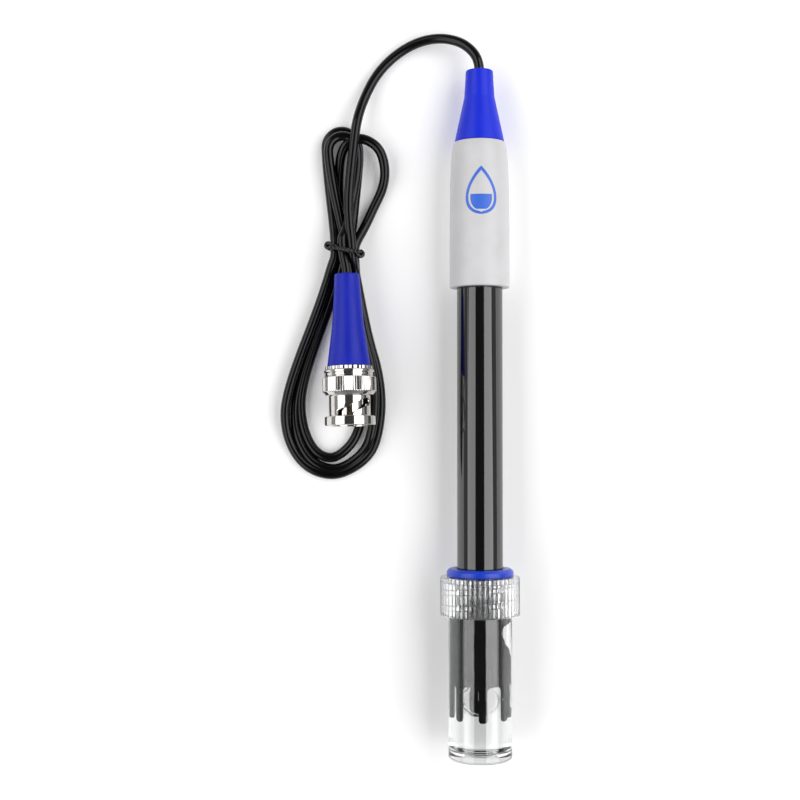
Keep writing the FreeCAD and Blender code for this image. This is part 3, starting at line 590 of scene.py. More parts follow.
def print_patch(name, rows):
    """A thin printed patch on top of the handle from rows of (height, left, right) in millimetres."""
    columns = 12
    vertices = []
    for height, left, right in rows:
        radius = handle_radius(height) + PRINT_THICKNESS
        for column in range(columns + 1):
            across = left + (right - left) * column / columns
            angle = FRONT + across / radius
            vertices.append(on_ring(radius, angle, height))
    faces = []
    for row in range(len(rows) - 1):
        for column in range(columns):
            low = row * (columns + 1) + column
            faces.append((low, low + 1, low + columns + 2, low + columns + 1))
    return finish_mesh(name, vertices, faces, ELECTRODE, "mark")


def make_mark():
    """A plain printed droplet: an outline with a level inside it."""
    base = DROPLET_CENTRE - DROPLET_HEIGHT / 2
    rows = 48
    left_side = []
    right_side = []
    level = []
    inner_base = base + DROPLET_STROKE
    inner_height = DROPLET_HEIGHT - 2.6 * DROPLET_STROKE
    for step in range(rows + 1):
        share = 0.001 + 0.998 * step / rows
        height = base + DROPLET_HEIGHT * share
        edge = droplet_edge(share)
        inner_share = (height - inner_base) / inner_height
        inside = droplet_edge(inner_share, DROPLET_STROKE) if 0 < inner_share < 1 else 0.0
        left_side.append((height, -edge, -inside))
        right_side.append((height, inside, edge))
        if 0.04 < inner_share < 0.44:
            half = max(0.05, inside - LEVEL_GAP)
            level.append((height, -half, half))
    patches = {"droplet_left": left_side, "droplet_right": right_side, "droplet_level": level}
    for name, patch in patches.items():
        settle(print_patch(name, patch), "root", "blue_boot")


# --- The storage bottle -------------------------------------------------------
BOTTLE_FLOOR = 1.6
NUT_BASE = 37.2
NUT_THREAD_TOP = 45.4
NUT_WEB = 45.8
NUT_TOP = 47.3
NECK_BASE = 37.6
MOUTH = 43.4
SOLUTION_TOP = 41.9


def thread_ridge(angle, height, pitch, start):
    """0 to 1 across a single-start right-hand ridge."""
    turns = (height - start) / pitch - angle / (2 * math.pi)
    away = abs(turns - round(turns)) * pitch
    return 1 - smooth_step(0.35, 0.95, away)


def make_bottle(sizes):
    """The clear bottle with its neck thread."""
    outer = sizes.radius / MM
    bore = sizes.bore / MM
    neck = bore + 0.72
    pitch = sizes.thread_pitch / MM
    crest = 0.68

    def neck_thread(angle, radius, height):
        if radius < neck - 0.01 or not NECK_BASE + 0.2 < height < MOUTH - 0.3:
            return radius
        run_in = smooth_step(NECK_BASE + 0.2, NECK_BASE + 0.9, height)
        run_out = 1 - smooth_step(MOUTH - 1.1, MOUTH - 0.35, height)
        return radius + crest * run_in * run_out * thread_ridge(angle, height, pitch, NECK_BASE)

    steps = 36
    span = MOUTH - NECK_BASE - 0.4
    neck_rings = [(neck, NECK_BASE + 0.1 + span * step / steps, 0) for step in range(steps + 1)]
    outline = [(0, 0.0, 0), (outer, 0.0, 0.9), (outer, 12.0, 0)]
    outline += [(outer, 25.0, 0), (outer, NECK_BASE - 0.4, 0.2), (neck, NECK_BASE, 0.1)] + neck_rings
    outline += [(neck, MOUTH, 0.25), (bore, MOUTH, 0.2), (bore, 25.0, 0), (bore, 2.7, 0.9)]
    outline += [(bore - 0.55, BOTTLE_FLOOR, 0.5), (0, BOTTLE_FLOOR, 0)]
    piece = lathe("clear_bottle", outline, ELECTRODE, "bottle", 144, neck_thread)
    return settle(piece, "bottle", "clear_plastic", "storage_bottle")


# The air pocket between bottle and barrel: height, and the angle of its edge from the front.
POCKET_EDGE = [
    (12.4, 98), (13.4, 84), (16.0, 80), (26.5, 78), (28.5, 69), (31.0, 52), (33.2, 42), (34.4, 46), (35.5, 66),
]
POCKET_BACK = 128


def pocket_depth(angle, height):
    """How far a point on the solution's side lies inside the air pocket, 0 to 1."""
    bottom = POCKET_EDGE[0][0]
    top, edge = POCKET_EDGE[-1]
    if not bottom < height < top:
        return 0.0
    from_front = math.degrees((angle - FRONT) % (2 * math.pi))
    for (low, first), (high, second) in zip(POCKET_EDGE, POCKET_EDGE[1:]):
        if low <= height <= high:
            share = (height - low) / (high - low)
            edge = first + (second - first) * share * share * (3 - 2 * share)
    ends = smooth_step(bottom, 13.6, height) * (1 - smooth_step(34.6, top, height))
    back = 1 - smooth_step(POCKET_BACK, POCKET_BACK + 6, from_front)
    return smooth_step(edge, edge + 5, from_front) * back * ends


def make_solution(sizes):
    """The soaking solution that fills the bottle but for an air pocket at its side."""
    wall = sizes.bore / MM + 0.012
    barrel = 6.06
    floor = BOTTLE_FLOOR - 0.01
    flat = 6.5

    def pocket(angle, radius, height):
        if radius < wall - 0.01:
            return radius
        return wall - (wall - barrel) * pocket_depth(angle, height)

    low = 3.2
    high = SOLUTION_TOP - 0.3
    steps = 110
    rings = [(wall, low + (high - low) * step / steps, 0) for step in range(steps + 1)]
    outline = [(0, floor, 0), (flat, floor, 0), (wall - 0.2, 2.4, 0.3)] + rings
    outline += [(wall, SOLUTION_TOP, 0), (flat, SOLUTION_TOP, 0), (0, SOLUTION_TOP, 0)]
    piece = lathe("soaking_solution", outline, ELECTRODE, "solution", 180, pocket, 60)
    return settle(piece, "bottle", "clear_plastic")


# Each small bubble: degrees from the front, height and radius.
SMALL_BUBBLES = [(-38, 15.0, 0.42), (46, 20.5, 0.3), (48, 16.2, 0.26), (49, 30.3, 0.22), (-8, 27.0, 0.16)]


def make_bubbles():
    """Small air bubbles that cling to the bottle's wall, their faces turned in towards the air."""
    rings = 12
    for number, (turn, height, radius) in enumerate(SMALL_BUBBLES):
        outline = [(0, -radius, 0)]
        for ring in range(1, rings):
            angle = math.pi * ring / rings
            outline.append((radius * math.sin(angle), -radius * math.cos(angle), 0))
        outline.append((0, radius, 0))
        centre = on_ring(7.15 - radius, FRONT + math.radians(turn), height)
        place = ELECTRODE @ Matrix.Translation(centre)
        piece = lathe(f"bubble_{number + 1}", outline, place, "solution", 20)
        piece.data.flip_normals()
        settle(piece, "bottle", "clear_plastic")


def make_nut(sizes):
    """The clear nut with its reeded outside."""
    outer = sizes.nut_radius / MM
    ribs = sizes.nut_ribs
    pitch = sizes.thread_pitch / MM
    bore = 9.0
    crest = 0.28
    depth = 0.5

    def nut_surface(angle, radius, height):
        if abs(radius - bore) < 0.01 and NUT_BASE + 0.4 < height < NUT_THREAD_TOP:
            run_in = smooth_step(NUT_BASE + 0.4, NUT_BASE + 1.2, height)
            run_out = 1 - smooth_step(44.6, NUT_THREAD_TOP, height)
            return radius - crest * (run_in * run_out) * thread_ridge(angle, height, pitch, NUT_BASE)
        if radius < outer - 0.6:
            return radius
        across = abs((angle * ribs / (2 * math.pi)) % 1 - 0.5) * 2
        fade_in = smooth_step(NUT_BASE, NUT_BASE + 0.3, height)
        fade_out = 1 - smooth_step(NUT_TOP - 0.3, NUT_TOP, height)
        return radius - depth * across**2 * (fade_in * fade_out)

    outline = [(bore, NUT_BASE, 0.15), (outer, NUT_BASE, 0.35), (outer, NUT_BASE + 0.6, 0)]
    outline += [(outer, 42.0, 0), (outer, NUT_TOP - 0.6, 0), (outer, NUT_TOP, 0.45), (7.3, NUT_TOP, 0.15)]
    outline += [(7.3, NUT_WEB, 0.15), (bore, NUT_WEB, 0.2)]
    span = NUT_THREAD_TOP - NUT_BASE - 0.3
    steps = 40
    outline += [(bore, NUT_THREAD_TOP - span * step / steps, 0) for step in range(steps + 1)]
    piece = lathe("ribbed_nut", outline, ELECTRODE, "nut", ribs * 8, nut_surface, 50)
    return settle(piece, "nut", "clear_plastic", "bottle_nut")


def make_seal():
    """The blue flange of the seal and the clear sleeve below it."""
    flange = [
        (6.05, 47.2, 0), (7.0, 47.2, 0), (7.0, 47.4, 0.1), (8.75, 47.4, 0.25), (8.75, 48.7, 0.5),
        (8.1, 49.4, 0.6), (6.75, 49.4, 0.25), (6.05, 48.9, 0.2),
    ]
    settle(lathe("blue_seal", flange, ELECTRODE, "seal", 128), "seal", "blue_rubber", "bottle_seal")
    sleeve = [
        (6.05, 42.0, 0.1), (6.9, 42.0, 0.2), (6.9, 43.5, 0.1), (8.2, 43.5, 0.2), (8.2, 45.7, 0.2),
        (7.0, 45.7, 0.1), (7.0, 47.19, 0), (6.05, 47.19, 0),
    ]
    settle(lathe("seal_sleeve", sleeve, ELECTRODE, "sleeve", 96), "seal", "blue_rubber")


# --- The plug -----------------------------------------------------------------
# The bayonet slot's start, turn and width; then, along the plug from the back of its boot, the slot's inner
# end and the back of the lip, millimetres.
SLOT_START = math.radians(114.5)
SLOT_TURN = math.radians(-87.5)
SLOT_WIDTH = 2.1
DETENT = 33.9
LIP_BACK = 37.6


def slot_rungs(start):
    """Rungs of one bayonet slot: in under the lip, round the corner and up the ramp to its round inner end."""
    middle = 5.2
    half = SLOT_WIDTH / 2
    under_lip = 5.76
    through = 6.1
    mouth = LIP_BACK - 0.9
    path = [(start, height) for height in (41.0, 39.5, 38.2, LIP_BACK + 0.05, LIP_BACK - 0.02, mouth)]
    steps = 20
    for step in range(1, steps + 1):
        share = step / steps
        ease = 0.45 * smooth_step(0, 1, share) + 0.55 * share
        path.append((start + SLOT_TURN * share, mouth + (DETENT - mouth) * ease))
    rungs = []
    for index, (angle, height) in enumerate(path):
        before = path[max(index - 1, 0)]
        after = path[min(index + 1, len(path) - 1)]
        course = Vector(((after[0] - before[0]) * middle, after[1] - before[1])).normalized()
        outer = under_lip if height > LIP_BACK else through
        side = (course.y * half / middle, -course.x * half)
        rungs.append((angle + side[0], height + side[1], angle - side[0], height - side[1], outer))
    for step in range(1, 7):
        bend = math.radians(14.5 * step)
        run = half * math.sin(bend)
        shrink = math.cos(bend)
        here = (angle + course.x * run / middle, height + course.y * run)
        left = (here[0] + side[0] * shrink, here[1] + side[1] * shrink)
        right = (here[0] - side[0] * shrink, here[1] - side[1] * shrink)
        rungs.append((*left, *right, through))
    return rungs


def make_coupling():
    """The knurled coupling with its two ramped slots."""
    knurls = 64
    full = 7.05

    def knurl(angle, radius, height):
        if radius < full - 0.02:
            return radius
        wave = 0.5 + 0.5 * math.cos(angle * knurls)
        return radius - 0.14 * (1 - wave**0.7)

    outline = [
        (4.65, 25.5, 0.1), (6.62, 25.5, 0.2), (6.66, 26.0, 0.15), (6.3, 26.35, 0.2), (6.3, 26.9, 0.2),
        (6.85, 27.35, 0.1), (full, 27.5, 0), (full, 29.3, 0), (full, 31.0, 0), (6.8, 31.35, 0.12),
        (6.3, 32.1, 0.2), (5.5, 32.2, 0.3), (5.5, 33.2, 0), (5.5, 34.4, 0), (5.5, 35.8, 0), (5.5, 37.0, 0),
        (5.5, 37.6, 0.25), (6.7, 37.6, 0.25), (6.7, 40.0, 0.3), (4.9, 40.0, 0.2), (4.9, 31.0, 0),
        (6.0, 31.0, 0), (6.0, 26.7, 0), (4.65, 26.7, 0),
    ]
    piece = lathe("bayonet_coupling", outline, PLUG, "nickel", knurls * 4, knurl, 32)
    starts = (SLOT_START, SLOT_START + math.pi)
    cutters = [ladder("slot_cutter", slot_rungs(start), 4.3, PLUG, "nickel") for start in starts]
    carve(piece, cutters, 0.07, 32)
    return settle(piece, "coupling", "nickel_plate", "plug_coupling")


def make_shell():
    """The plug's shell with its scalloped collar."""

    def scallops(angle, radius, height):
        if radius < 6.0:
            return radius
        return radius - 0.45 * (0.5 + 0.5 * math.cos(12 * angle)) ** 2

    outline = [
        (1.0, 15.5, 0.1), (2.6, 15.5, 0.1), (2.6, 24.5, 0), (6.3, 24.5, 0.12), (6.3, 25.4, 0.12),
        (4.3, 25.4, 0), (4.3, 31.2, 0.15), (3.5, 31.2, 0), (3.5, 25.4, 0), (1.0, 25.4, 0),
    ]
    piece = lathe("plug_shell_body", outline, PLUG, "nickel", 144, scallops)
    return settle(piece, "root", "nickel_plate", "plug_shell")


def make_contact():
    """The sprung outer contact with four slits."""
    outline = [
        (3.5, 31.2, 0), (4.05, 31.2, 0), (4.05, 33.2, 0), (4.05, 36.0, 0), (4.05, 38.6, 0.2),
        (3.5, 38.6, 0.15),
    ]
    piece = lathe("contact_fingers", outline, PLUG, "nickel", 96)
    cutters = []
    for number in range(2):
        turn = Matrix.Rotation(math.pi / 2 * number, 4, "Z")
        outline = [(-0.25, 33.3), (0.25, 33.3), (0.25, 40), (-0.25, 40)]
        cutters.append(prism("slit_cutter", outline, 6, PLUG @ turn, "nickel"))
    carve(piece, cutters)
    return settle(piece, "root", "nickel_plate", "plug_outer_contact")


def make_plug_boot():
    """The plug's blue boot."""
    outline = [
        (1.32, 0, 0.15), (3.3, 0, 0.5), (3.55, 5.0, 6), (4.2, 13.6, 8), (5.72, 24.45, 0.25),
        (3.2, 24.45, 0), (3.2, 14.0, 0), (1.32, 14.0, 0),
    ]
    piece = lathe("blue_plug_boot", outline, PLUG, "plug_boot", 128)
    return settle(piece, "root", "blue_boot", "plug_boot")


def make_spring():
    """The wave spring round the shell's barrel."""
    waves = 3
    lift = 0.42
    half_thickness = 0.14
    segments = 120
    vertices = []
    faces = []
    for step in range(segments):
        angle = 2 * math.pi * step / segments
        middle = 27.5 + lift * math.sin(waves * angle)
        for radius, side in ((4.65, -1), (5.6, -1), (5.6, 1), (4.65, 1)):
            height = middle + side * half_thickness
            vertices.append(on_ring(radius, angle, height))
    for step in range(segments):
        base = 4 * step
        after = 4 * ((step + 1) % segments)
        for first, second in ((0, 1), (1, 2), (2, 3), (3, 0)):
            faces.append((base + first, base + second, after + second, after + first))
    piece = finish_mesh("wave_spring", vertices, faces, PLUG, "steel")
    return settle(piece, "plug_spring", "spring_steel", "plug_wave_spring")


# --- The cable ----------------------------------------------------------------
# The lead's points as in the part's own route, millimetres.
CABLE_EXIT = 180.1
LEAD_EXIT_RUN = 2.6
LEAD_ROUTE = [
    (-1.7, 96.1, 6.1), (-5.2, 98.9, 5.0), (-10.6, 100.2, 3.6), (-16.5, 99.3, 2.3), (-22.4, 96.0, 1.5),
    (-27.3, 90.9, 1.5), (-30.6, 84.2, 2.6), (-32.5, 77.8, 4.9), (-33.2, 71.8, 5.6), (-33.9, 65.5, 5.7),
    (-34.7, 56.5, 5.9), (-34.4, 50.0, 6.3),
]
TAIL_ROUTE = [
    (-36.4, 46.5, 6.3), (-36.3, 44.5, 6.4), (-36.1, 42.5, 6.6), (-35.7, 40.6, 7.2), (-35.2, 38.7, 7.65),
]
# Where the tie stands, how far a strand runs straight each side of it, and the height of a strand's middle
# as it lies on the bench.
TIE_Y = 43.2
TIE_RUN = 1.6
REST = 1.32
# One lower loop, clockwise from the tie: which two anchors a point lies between, how far along, how deep.
# The anchors are 0 the strand that goes down, 1 the right edge, 2 the left edge, 3 the strand that comes up.
LOWER_LOOP = [
    (0, 1, 0.12, 0.11), (0, 1, 0.32, 0.25), (0, 1, 0.57, 0.40), (0, 1, 0.90, 0.545), (0, 1, 1.02, 0.69),
    (0, 1, 0.88, 0.835), (2, 1, 0.88, 0.92), (2, 1, 0.69, 0.985), (2, 1, 0.47, 1.015), (2, 1, 0.21, 0.975),
    (2, 1, 0.04, 0.87), (3, 2, 1.02, 0.735), (3, 2, 0.91, 0.61), (3, 2, 0.70, 0.47), (3, 2, 0.45, 0.325),
    (3, 2, 0.22, 0.18), (3, 2, 0.06, 0.06),
]
# A narrow upper loop and the wide one, in the same way, clockwise from the strand that comes up.
NARROW_LOOP = [
    (3, 2, 0.22, 0.24), (3, 2, 0.66, 0.52), (3, 2, 0.98, 0.80), (3, 2, 1.0, 0.92), (2, 1, 0.28, 1.0),
    (2, 1, 0.69, 1.0), (2, 1, 0.98, 0.92), (2, 1, 1.03, 0.80), (0, 1, 0.92, 0.62), (0, 1, 0.58, 0.40),
    (0, 1, 0.28, 0.2),
]
WIDE_LOOP = [
    (3, 2, 0.85, 0.25), (3, 2, 1.0, 0.48), (3, 2, 1.02, 0.74), (2, 1, 0.08, 0.92), (2, 1, 0.3, 1.0),
    (2, 1, 0.55, 1.02), (2, 1, 0.9, 0.93), (2, 1, 1.03, 0.75), (0, 1, 0.97, 0.58), (0, 1, 0.62, 0.39),
    (0, 1, 0.32, 0.21),
]
# Each turn: the strand that goes down at the tie, the one that comes up and the next that goes down, each as
# (across, height); then the lower loop's edges, lowest point and heights right, bottom and left; then the
# upper loop's shape, edges, top and heights left, top and right.
TURNS = [
    {
        "down": (-33.7, 6.5), "up": (-38.2, 4.4), "next": (-34.4, 2.35),
        "lower": (-26.0, -51.7, -16.1), "lower_heights": (1.4, REST, 3.6),
        "shape": NARROW_LOOP, "upper": (-32.2, -40.8, 75.6), "upper_heights": (1.4, REST, 1.4),
    },
    {
        "down": (-34.4, 2.35), "up": (-37.0, 2.35), "next": (-33.1, 4.4),
        "lower": (-27.6, -49.4, -14.6), "lower_heights": (3.5, REST, REST),
        "shape": WIDE_LOOP, "upper": (-25.2, -37.4, 72.9), "upper_heights": (1.5, 3.6, REST),
    },
    {
        "down": (-33.1, 4.4), "up": (-35.7, 4.4), "next": (-36.4, 6.3),
        "lower": (-31.2, -47.6, -11.6), "lower_heights": (REST, REST, 1.5),
        "shape": NARROW_LOOP, "upper": (-32.4, -40.1, 74.0), "upper_heights": (3.7, 3.4, 3.6),
    },
]
# The share of a lower loop over which its strands come down from the tie; twice that in an upper loop.
FALL = 0.22
# The last stretch inside the plug's boot.
PLUG_END_RUN = 0.6


def loop_points(shape, down, up, edges, reach, heights):
    """The points of one loop between two strands at the tie, millimetres."""
    right, left, far = edges
    anchors = (down[0], right, left, up[0])
    points = []
    for first, second, share, depth in shape:
        x = anchors[first] + (anchors[second] - anchors[first]) * share
        y = TIE_Y + (far - TIE_Y) * depth
        side = {0: 0, 3: 2}.get(first, 1)
        lying = heights[side]
        strand = down if side == 0 else up
        near = max(0.0, 1 - depth / reach) ** 2 if side != 1 else 0.0
        points.append((x, y, lying + (strand[1] - lying) * near))
    return points


def hank_points():
    """Every turn of the tied hank, millimetres."""
    points = []
    for turn in TURNS:
        down = turn["down"]
        up = turn["up"]
        after = turn["next"]
        points += [(down[0], TIE_Y + TIE_RUN, down[1]), (down[0], TIE_Y - TIE_RUN, down[1])]
        points += loop_points(LOWER_LOOP, down, up, turn["lower"], FALL, turn["lower_heights"])
        points += [(up[0], TIE_Y - TIE_RUN, up[1]), (up[0], TIE_Y + TIE_RUN, up[1])]
        left, top, right = turn["upper_heights"]
        points += loop_points(turn["shape"], after, up, turn["upper"], 2 * FALL, (right, top, left))
    return points


def cable_exit():
    """Where the cable leaves the electrode's boot, in metres."""
    return ELECTRODE @ Vector((0, 0, CABLE_EXIT * MM))


def make_cable(sizes):
    """The cable from the boot through the hank to the plug, one smooth line."""
    first = ELECTRODE @ Vector((0, 0, (CABLE_EXIT + LEAD_EXIT_RUN) * MM))
    route = [Vector(point) * MM for point in LEAD_ROUTE + hank_points() + TAIL_ROUTE]
    points = [cable_exit(), first] + route + [PLUG_BACK, PLUG_BACK + PLUG_DIRECTION * PLUG_END_RUN * MM]
    line = bpy.data.curves.new("cable", "CURVE")
    line.dimensions = "3D"
    spline = line.splines.new("NURBS")
    spline.points.add(len(points) - 1)
    for control, point in zip(spline.points, points):
        control.co = (*point, 1)
    spline.order_u = 3
    spline.use_endpoint_u = True
    spline.resolution_u = 10
    line.bevel_depth = sizes.diameter / 2
    line.bevel_resolution = 8
    line.use_fill_caps = True
    line.materials.append(FINISH["cable"])
    cable = bpy.data.objects.new("cable", line)
    bpy.context.scene.collection.objects.link(cable)
    return settle(cable, "root", "black_cable", "cable_lead", "cable_hank", "cable_tail")


def make_tie():
    """The twist tie: two strands wound round each other about the hank, and their curled ends."""
    centre = Vector((-35.65, TIE_Y, 4.35)) * MM
    half_width = 4.3 * MM
    half_height = 3.95 * MM
    tilt = 1.1 * MM
    wire = 0.42 * MM
    twist = 0.36 * MM
    turns = 13
    steps = 260
    curl_wire = 0.5 * MM
    curl_steps = 60
    curl_turns = 1.2
    pieces = []
    for strand in range(2):
        points = []
        for step in range(steps + 1):
            around = 2 * math.pi * step / steps
            cos, sin = math.cos(around), math.sin(around)
            round_off = 1 / (abs(cos) ** 3 + abs(sin) ** 3) ** (1 / 3)
            out = Vector((cos * half_width, 0, sin * half_height)) * round_off
            out.y = -cos * tilt
            spin = turns * around + math.pi * strand
            radial = Vector((cos, 0, sin))
            sideways = Vector((0, twist * math.sin(spin), 0))
            points.append(centre + out + radial * twist * math.cos(spin) + sideways)
        pieces.append(tube(f"tie_strand_{strand + 1}", points, wire, "tie"))
    for side, name in ((-1, "left"), (1, "right")):
        start = centre + Vector((side * (half_width - 0.1 * MM), -side * tilt, 2.6 * MM))
        curl = []
        for step in range(curl_steps + 1):
            share = step / curl_steps
            around = share * 2 * curl_turns * math.pi
            radius = (0.75 - 0.2 * share) * MM
            across = side * radius * math.sin(around)
            curl.append(start + Vector((across, radius * math.cos(around), share * 1.1 * MM)))
        pieces.append(tube(f"tie_end_{name}", curl, curl_wire, "tie"))
    for piece in pieces:
        settle(piece, "root", "tie_plastic")
    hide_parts("twist_tie")


# --- The stage ----------------------------------------------------------------
CAMERA_PLACE = (-0.02097, 0.0035, 0.365)
CAMERA_LENS = 60.93
FLOOR_HALF = 4.0
FLOOR_SHADE = 0.9
FLOOR_GLOW = 0.12
# The surroundings' light at the horizon and overhead, and how high up each of them ends.
HORIZON_GLOW = 0.35
ZENITH_GLOW = 0.06
HORIZON_TO = 0.3
ZENITH_FROM = 0.72
# Each softbox: degrees it leans from upright, distance, width, length and watts.
SOFTBOXES = {
    "left_softbox": (-46.5, 0.62, 0.46, 1.2, 3.8),
    "right_softbox": (41.6, 0.62, 0.54, 1.2, 5.6),
}


def make_stage():
    """The pale floor, the two long softboxes, the dim surroundings and the camera overhead."""
    world = bpy.data.worlds.new("studio")
    world.use_nodes = True
    tree = world.node_tree
    direction = tree.nodes.new("ShaderNodeTexCoord")
    parts = tree.nodes.new("ShaderNodeSeparateXYZ")
    fade = tree.nodes.new("ShaderNodeMapRange")
    span = (HORIZON_TO, ZENITH_FROM, HORIZON_GLOW, ZENITH_GLOW)
    for socket, value in zip(fade.inputs[1:5], span):
        socket.default_value = value
    tree.links.new(direction.outputs["Generated"], parts.inputs["Vector"])
    tree.links.new(parts.outputs["Z"], fade.inputs["Value"])
    tree.links.new(fade.outputs["Result"], tree.nodes["Background"].inputs["Strength"])
    tree.nodes["Background"].inputs["Color"].default_value = (1, 1, 1, 1)
    bpy.context.scene.world = world
    floor_mesh = bpy.data.meshes.new("floor")
    corners = [(x * FLOOR_HALF, y * FLOOR_HALF, 0) for x, y in ((-1, -1), (1, -1), (1, 1), (-1, 1))]
    floor_mesh.from_pydata(corners, [], [(0, 1, 2, 3)])
    floor = bpy.data.objects.new("floor", floor_mesh)
    bpy.context.scene.collection.objects.link(floor)
    made, tree, sockets = plain_shader("pale_floor")
    sockets["Base Color"].default_value = (FLOOR_SHADE, FLOOR_SHADE, FLOOR_SHADE, 1)
    sockets["Roughness"].default_value = 0.9
    sockets["Specular IOR Level"].default_value = 0.1
    sockets["Emission Color"].default_value = (1, 1, 1, 1)
    sockets["Emission Strength"].default_value = FLOOR_GLOW
    floor_mesh.materials.append(made)
    for name, (lean, distance, width, length, power) in SOFTBOXES.items():
        light = bpy.data.lights.new(name, "AREA")
        light.shape = "RECTANGLE"
        light.size = width
        light.size_y = length
        light.energy = power
        box = bpy.data.objects.new(name, light)
        angle = math.radians(lean)
        box.location = (distance * math.sin(angle), 0, distance * math.cos(angle))
        box.rotation_euler = (0, angle, 0)
        bpy.context.scene.collection.objects.link(box)
    camera_data = bpy.data.cameras.new("camera")
    camera_data.lens = CAMERA_LENS
    camera_data.clip_start = 0.01
    camera = bpy.data.objects.new("camera", camera_data)
    camera.location = CAMERA_PLACE
    bpy.context.scene.collection.objects.link(camera)
    bpy.context.scene.camera = camera
    bpy.context.scene.view_settings.view_transform = "Standard"


# --- Finishes of the CAD nodes that stay --------------------------------------
NODE_FINISHES = {
    "tip_plug": "resin", "top_plug": "resin", "ceramic_junction": "ceramic", "inner_silver_wire": "silver",
    "reference_silver_wire": "silver", "stem_stopper": "seal", "cable_core": "white",
    "cable_shield_tail": "silver", "core_solder_joint": "silver", "shield_solder_joint": "silver",
    "cable_end": "cable", "cable_clamp": "brass", "plug_cable_end": "cable", "plug_crimp_ferrule": "nickel",
    "plug_insulator": "white", "plug_centre_pin": "gold", "plug_gasket": "gasket",
    "plug_retaining_ring": "steel", "plug_thrust_washer": "steel",
}
PLUG_NODES = [name for name in NODE_FINISHES if name.startswith("plug_")]
TIE_PIECES = ("tie_strand_1", "tie_strand_2", "tie_end_left", "tie_end_right")


def finish_nodes():
    """Give each CAD node that stays its material."""
    for name, finish in NODE_FINISHES.items():
        node = frame["nodes"][name]
        node.data.materials.clear()
        node.data.materials.append(FINISH[finish])


# --- Operators ----------------------------------------------------------------
class PHELECTRODE_OT_materials(bpy.types.Operator):
    """Make every material from the finishes' colours"""

    bl_idname = "ph_electrode.materials"
    bl_label = "Materials"

    def execute(self, context):
        FINISH.update(make_materials(context.scene.ph_finishes))
        finish_nodes()
        return {"FINISHED"}


class PHELECTRODE_OT_stage(bpy.types.Operator):
    """Make the floor, the lights and the camera"""

    bl_idname = "ph_electrode.stage"
    bl_label = "Stage"

    def execute(self, context):
        make_stage()
        return {"FINISHED"}


class PHELECTRODE_OT_cable(bpy.types.Operator):
    """Make the cable, from the boot through its hank to the plug"""

    bl_idname = "ph_electrode.cable"
    bl_label = "Cable"

    def execute(self, context):
        make_cable(context.scene.ph_cable)
        return {"FINISHED"}


class PHELECTRODE_OT_tie(bpy.types.Operator):
    """Make the twist tie round the cable's hank"""

    bl_idname = "ph_electrode.tie"
    bl_label = "Twist tie"

    def execute(self, context):
        make_tie()
        return {"FINISHED"}


class PHELECTRODE_OT_plug(bpy.types.Operator):
    """Make the plug's boot, shell, contact, coupling and wave spring"""

    bl_idname = "ph_electrode.plug"
    bl_label = "Plug"

    def execute(self, context):
        pieces = [bpy.data.objects[name] for name in TIE_PIECES]
        pieces += [make_plug_boot(), make_shell(), make_contact(), make_coupling(), make_spring()]
        pieces += [frame["nodes"][name] for name in frame["nodes"] if name in PLUG_NODES]
        return {"FINISHED"}


class PHELECTRODE_OT_barrel(bpy.types.Operator):
    """Make the barrel with its guard prongs"""

    bl_idname = "ph_electrode.barrel"
    bl_label = "Barrel"

    def execute(self, context):
        make_barrel(context.scene.ph_electrode)
        return {"FINISHED"}


class PHELECTRODE_OT_bulb(bpy.types.Operator):
    """Make the glass bulb on its stem"""

    bl_idname = "ph_electrode.bulb"
    bl_label = "Glass bulb"

    def execute(self, context):
        make_bulb()
        return {"FINISHED"}


class PHELECTRODE_OT_handle(bpy.types.Operator):
    """Make the handle, the boot on its end and the droplet printed on it"""

    bl_idname = "ph_electrode.handle"
    bl_label = "Handle and boot"

    def execute(self, context):
        make_handle(context.scene.ph_electrode)
        make_boot()
        make_mark()
        return {"FINISHED"}


class PHELECTRODE_OT_bottle(bpy.types.Operator):
    """Make the storage bottle with its neck thread"""

    bl_idname = "ph_electrode.bottle"
    bl_label = "Storage bottle"

    def execute(self, context):
        make_bottle(context.scene.ph_bottle)
        return {"FINISHED"}


class PHELECTRODE_OT_solution(bpy.types.Operator):
    """Make the soaking solution and its bubbles"""

    bl_idname = "ph_electrode.solution"
    bl_label = "Soaking solution"

    def execute(self, context):
        make_solution(context.scene.ph_bottle)
        make_bubbles()
        return {"FINISHED"}


class PHELECTRODE_OT_nut(bpy.types.Operator):
    """Make the ribbed nut and the seal that it presses"""

    bl_idname = "ph_electrode.nut"
    bl_label = "Nut and seal"

    def execute(self, context):
        make_nut(context.scene.ph_bottle)
        make_seal()
        return {"FINISHED"}


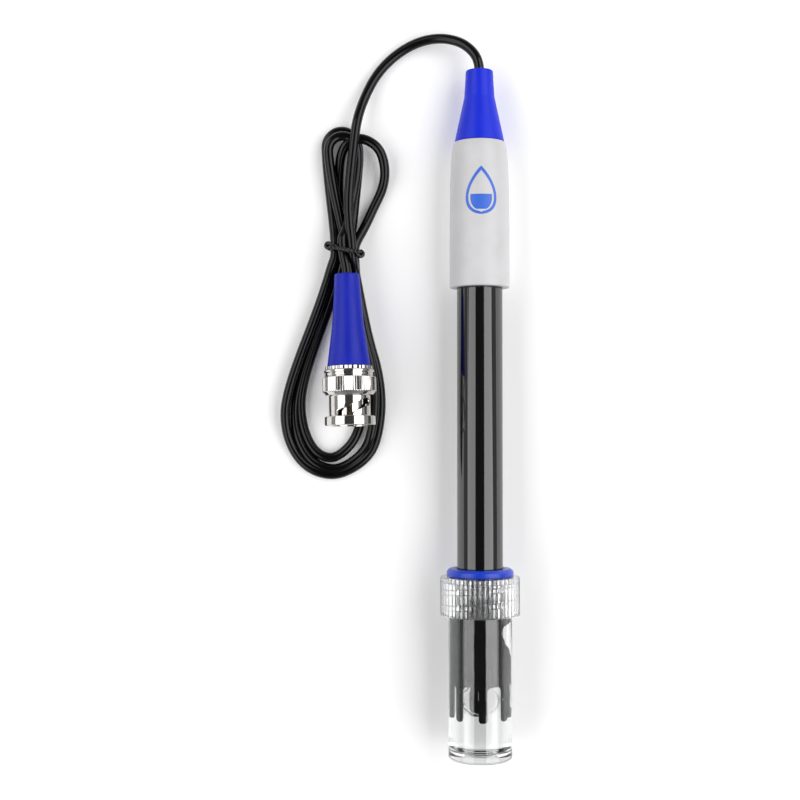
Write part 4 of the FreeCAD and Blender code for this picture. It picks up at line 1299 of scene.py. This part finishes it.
class PHELECTRODE_PT_panel(bpy.types.Panel):
    """The pieces in the order they are made"""

    bl_idname = "PHELECTRODE_PT_panel"
    bl_label = "pH Electrode"
    bl_space_type = "VIEW_3D"
    bl_region_type = "UI"
    bl_category = "pH Electrode"

    def draw(self, context):
        for operator in OPERATORS:
            self.layout.operator(operator.bl_idname)
        for settings in SETTINGS:
            group = getattr(context.scene, settings)
            for name in group.__annotations__:
                self.layout.prop(group, name)


SETTINGS = {
    "ph_electrode": ElectrodeSettings,
    "ph_bottle": BottleSettings,
    "ph_cable": CableSettings,
    "ph_finishes": Finishes,
}
OPERATORS = (
    PHELECTRODE_OT_materials,
    PHELECTRODE_OT_stage,
    PHELECTRODE_OT_cable,
    PHELECTRODE_OT_tie,
    PHELECTRODE_OT_plug,
    PHELECTRODE_OT_barrel,
    PHELECTRODE_OT_bulb,
    PHELECTRODE_OT_handle,
    PHELECTRODE_OT_bottle,
    PHELECTRODE_OT_solution,
    PHELECTRODE_OT_nut,
)


def register():
    """Register the settings, the operators and the panel."""
    for name, group in SETTINGS.items():
        bpy.utils.register_class(group)
        setattr(bpy.types.Scene, name, PointerProperty(type=group))
    for operator in OPERATORS:
        bpy.utils.register_class(operator)
    bpy.utils.register_class(PHELECTRODE_PT_panel)


def unregister():
    """Remove what register added."""
    bpy.utils.unregister_class(PHELECTRODE_PT_panel)
    for operator in reversed(OPERATORS):
        bpy.utils.unregister_class(operator)
    for name, group in SETTINGS.items():
        delattr(bpy.types.Scene, name)
        bpy.utils.unregister_class(group)


def main():
    """Build everything in order."""
    register()
    bpy.ops.ph_electrode.materials()
    bpy.ops.ph_electrode.stage()
    bpy.ops.ph_electrode.cable()
    bpy.ops.ph_electrode.tie()
    bpy.ops.ph_electrode.plug()
    bpy.ops.ph_electrode.barrel()
    bpy.ops.ph_electrode.bulb()
    bpy.ops.ph_electrode.handle()
    bpy.ops.ph_electrode.bottle()
    bpy.ops.ph_electrode.solution()
    bpy.ops.ph_electrode.nut()


if __name__ == "__main__":
    main()
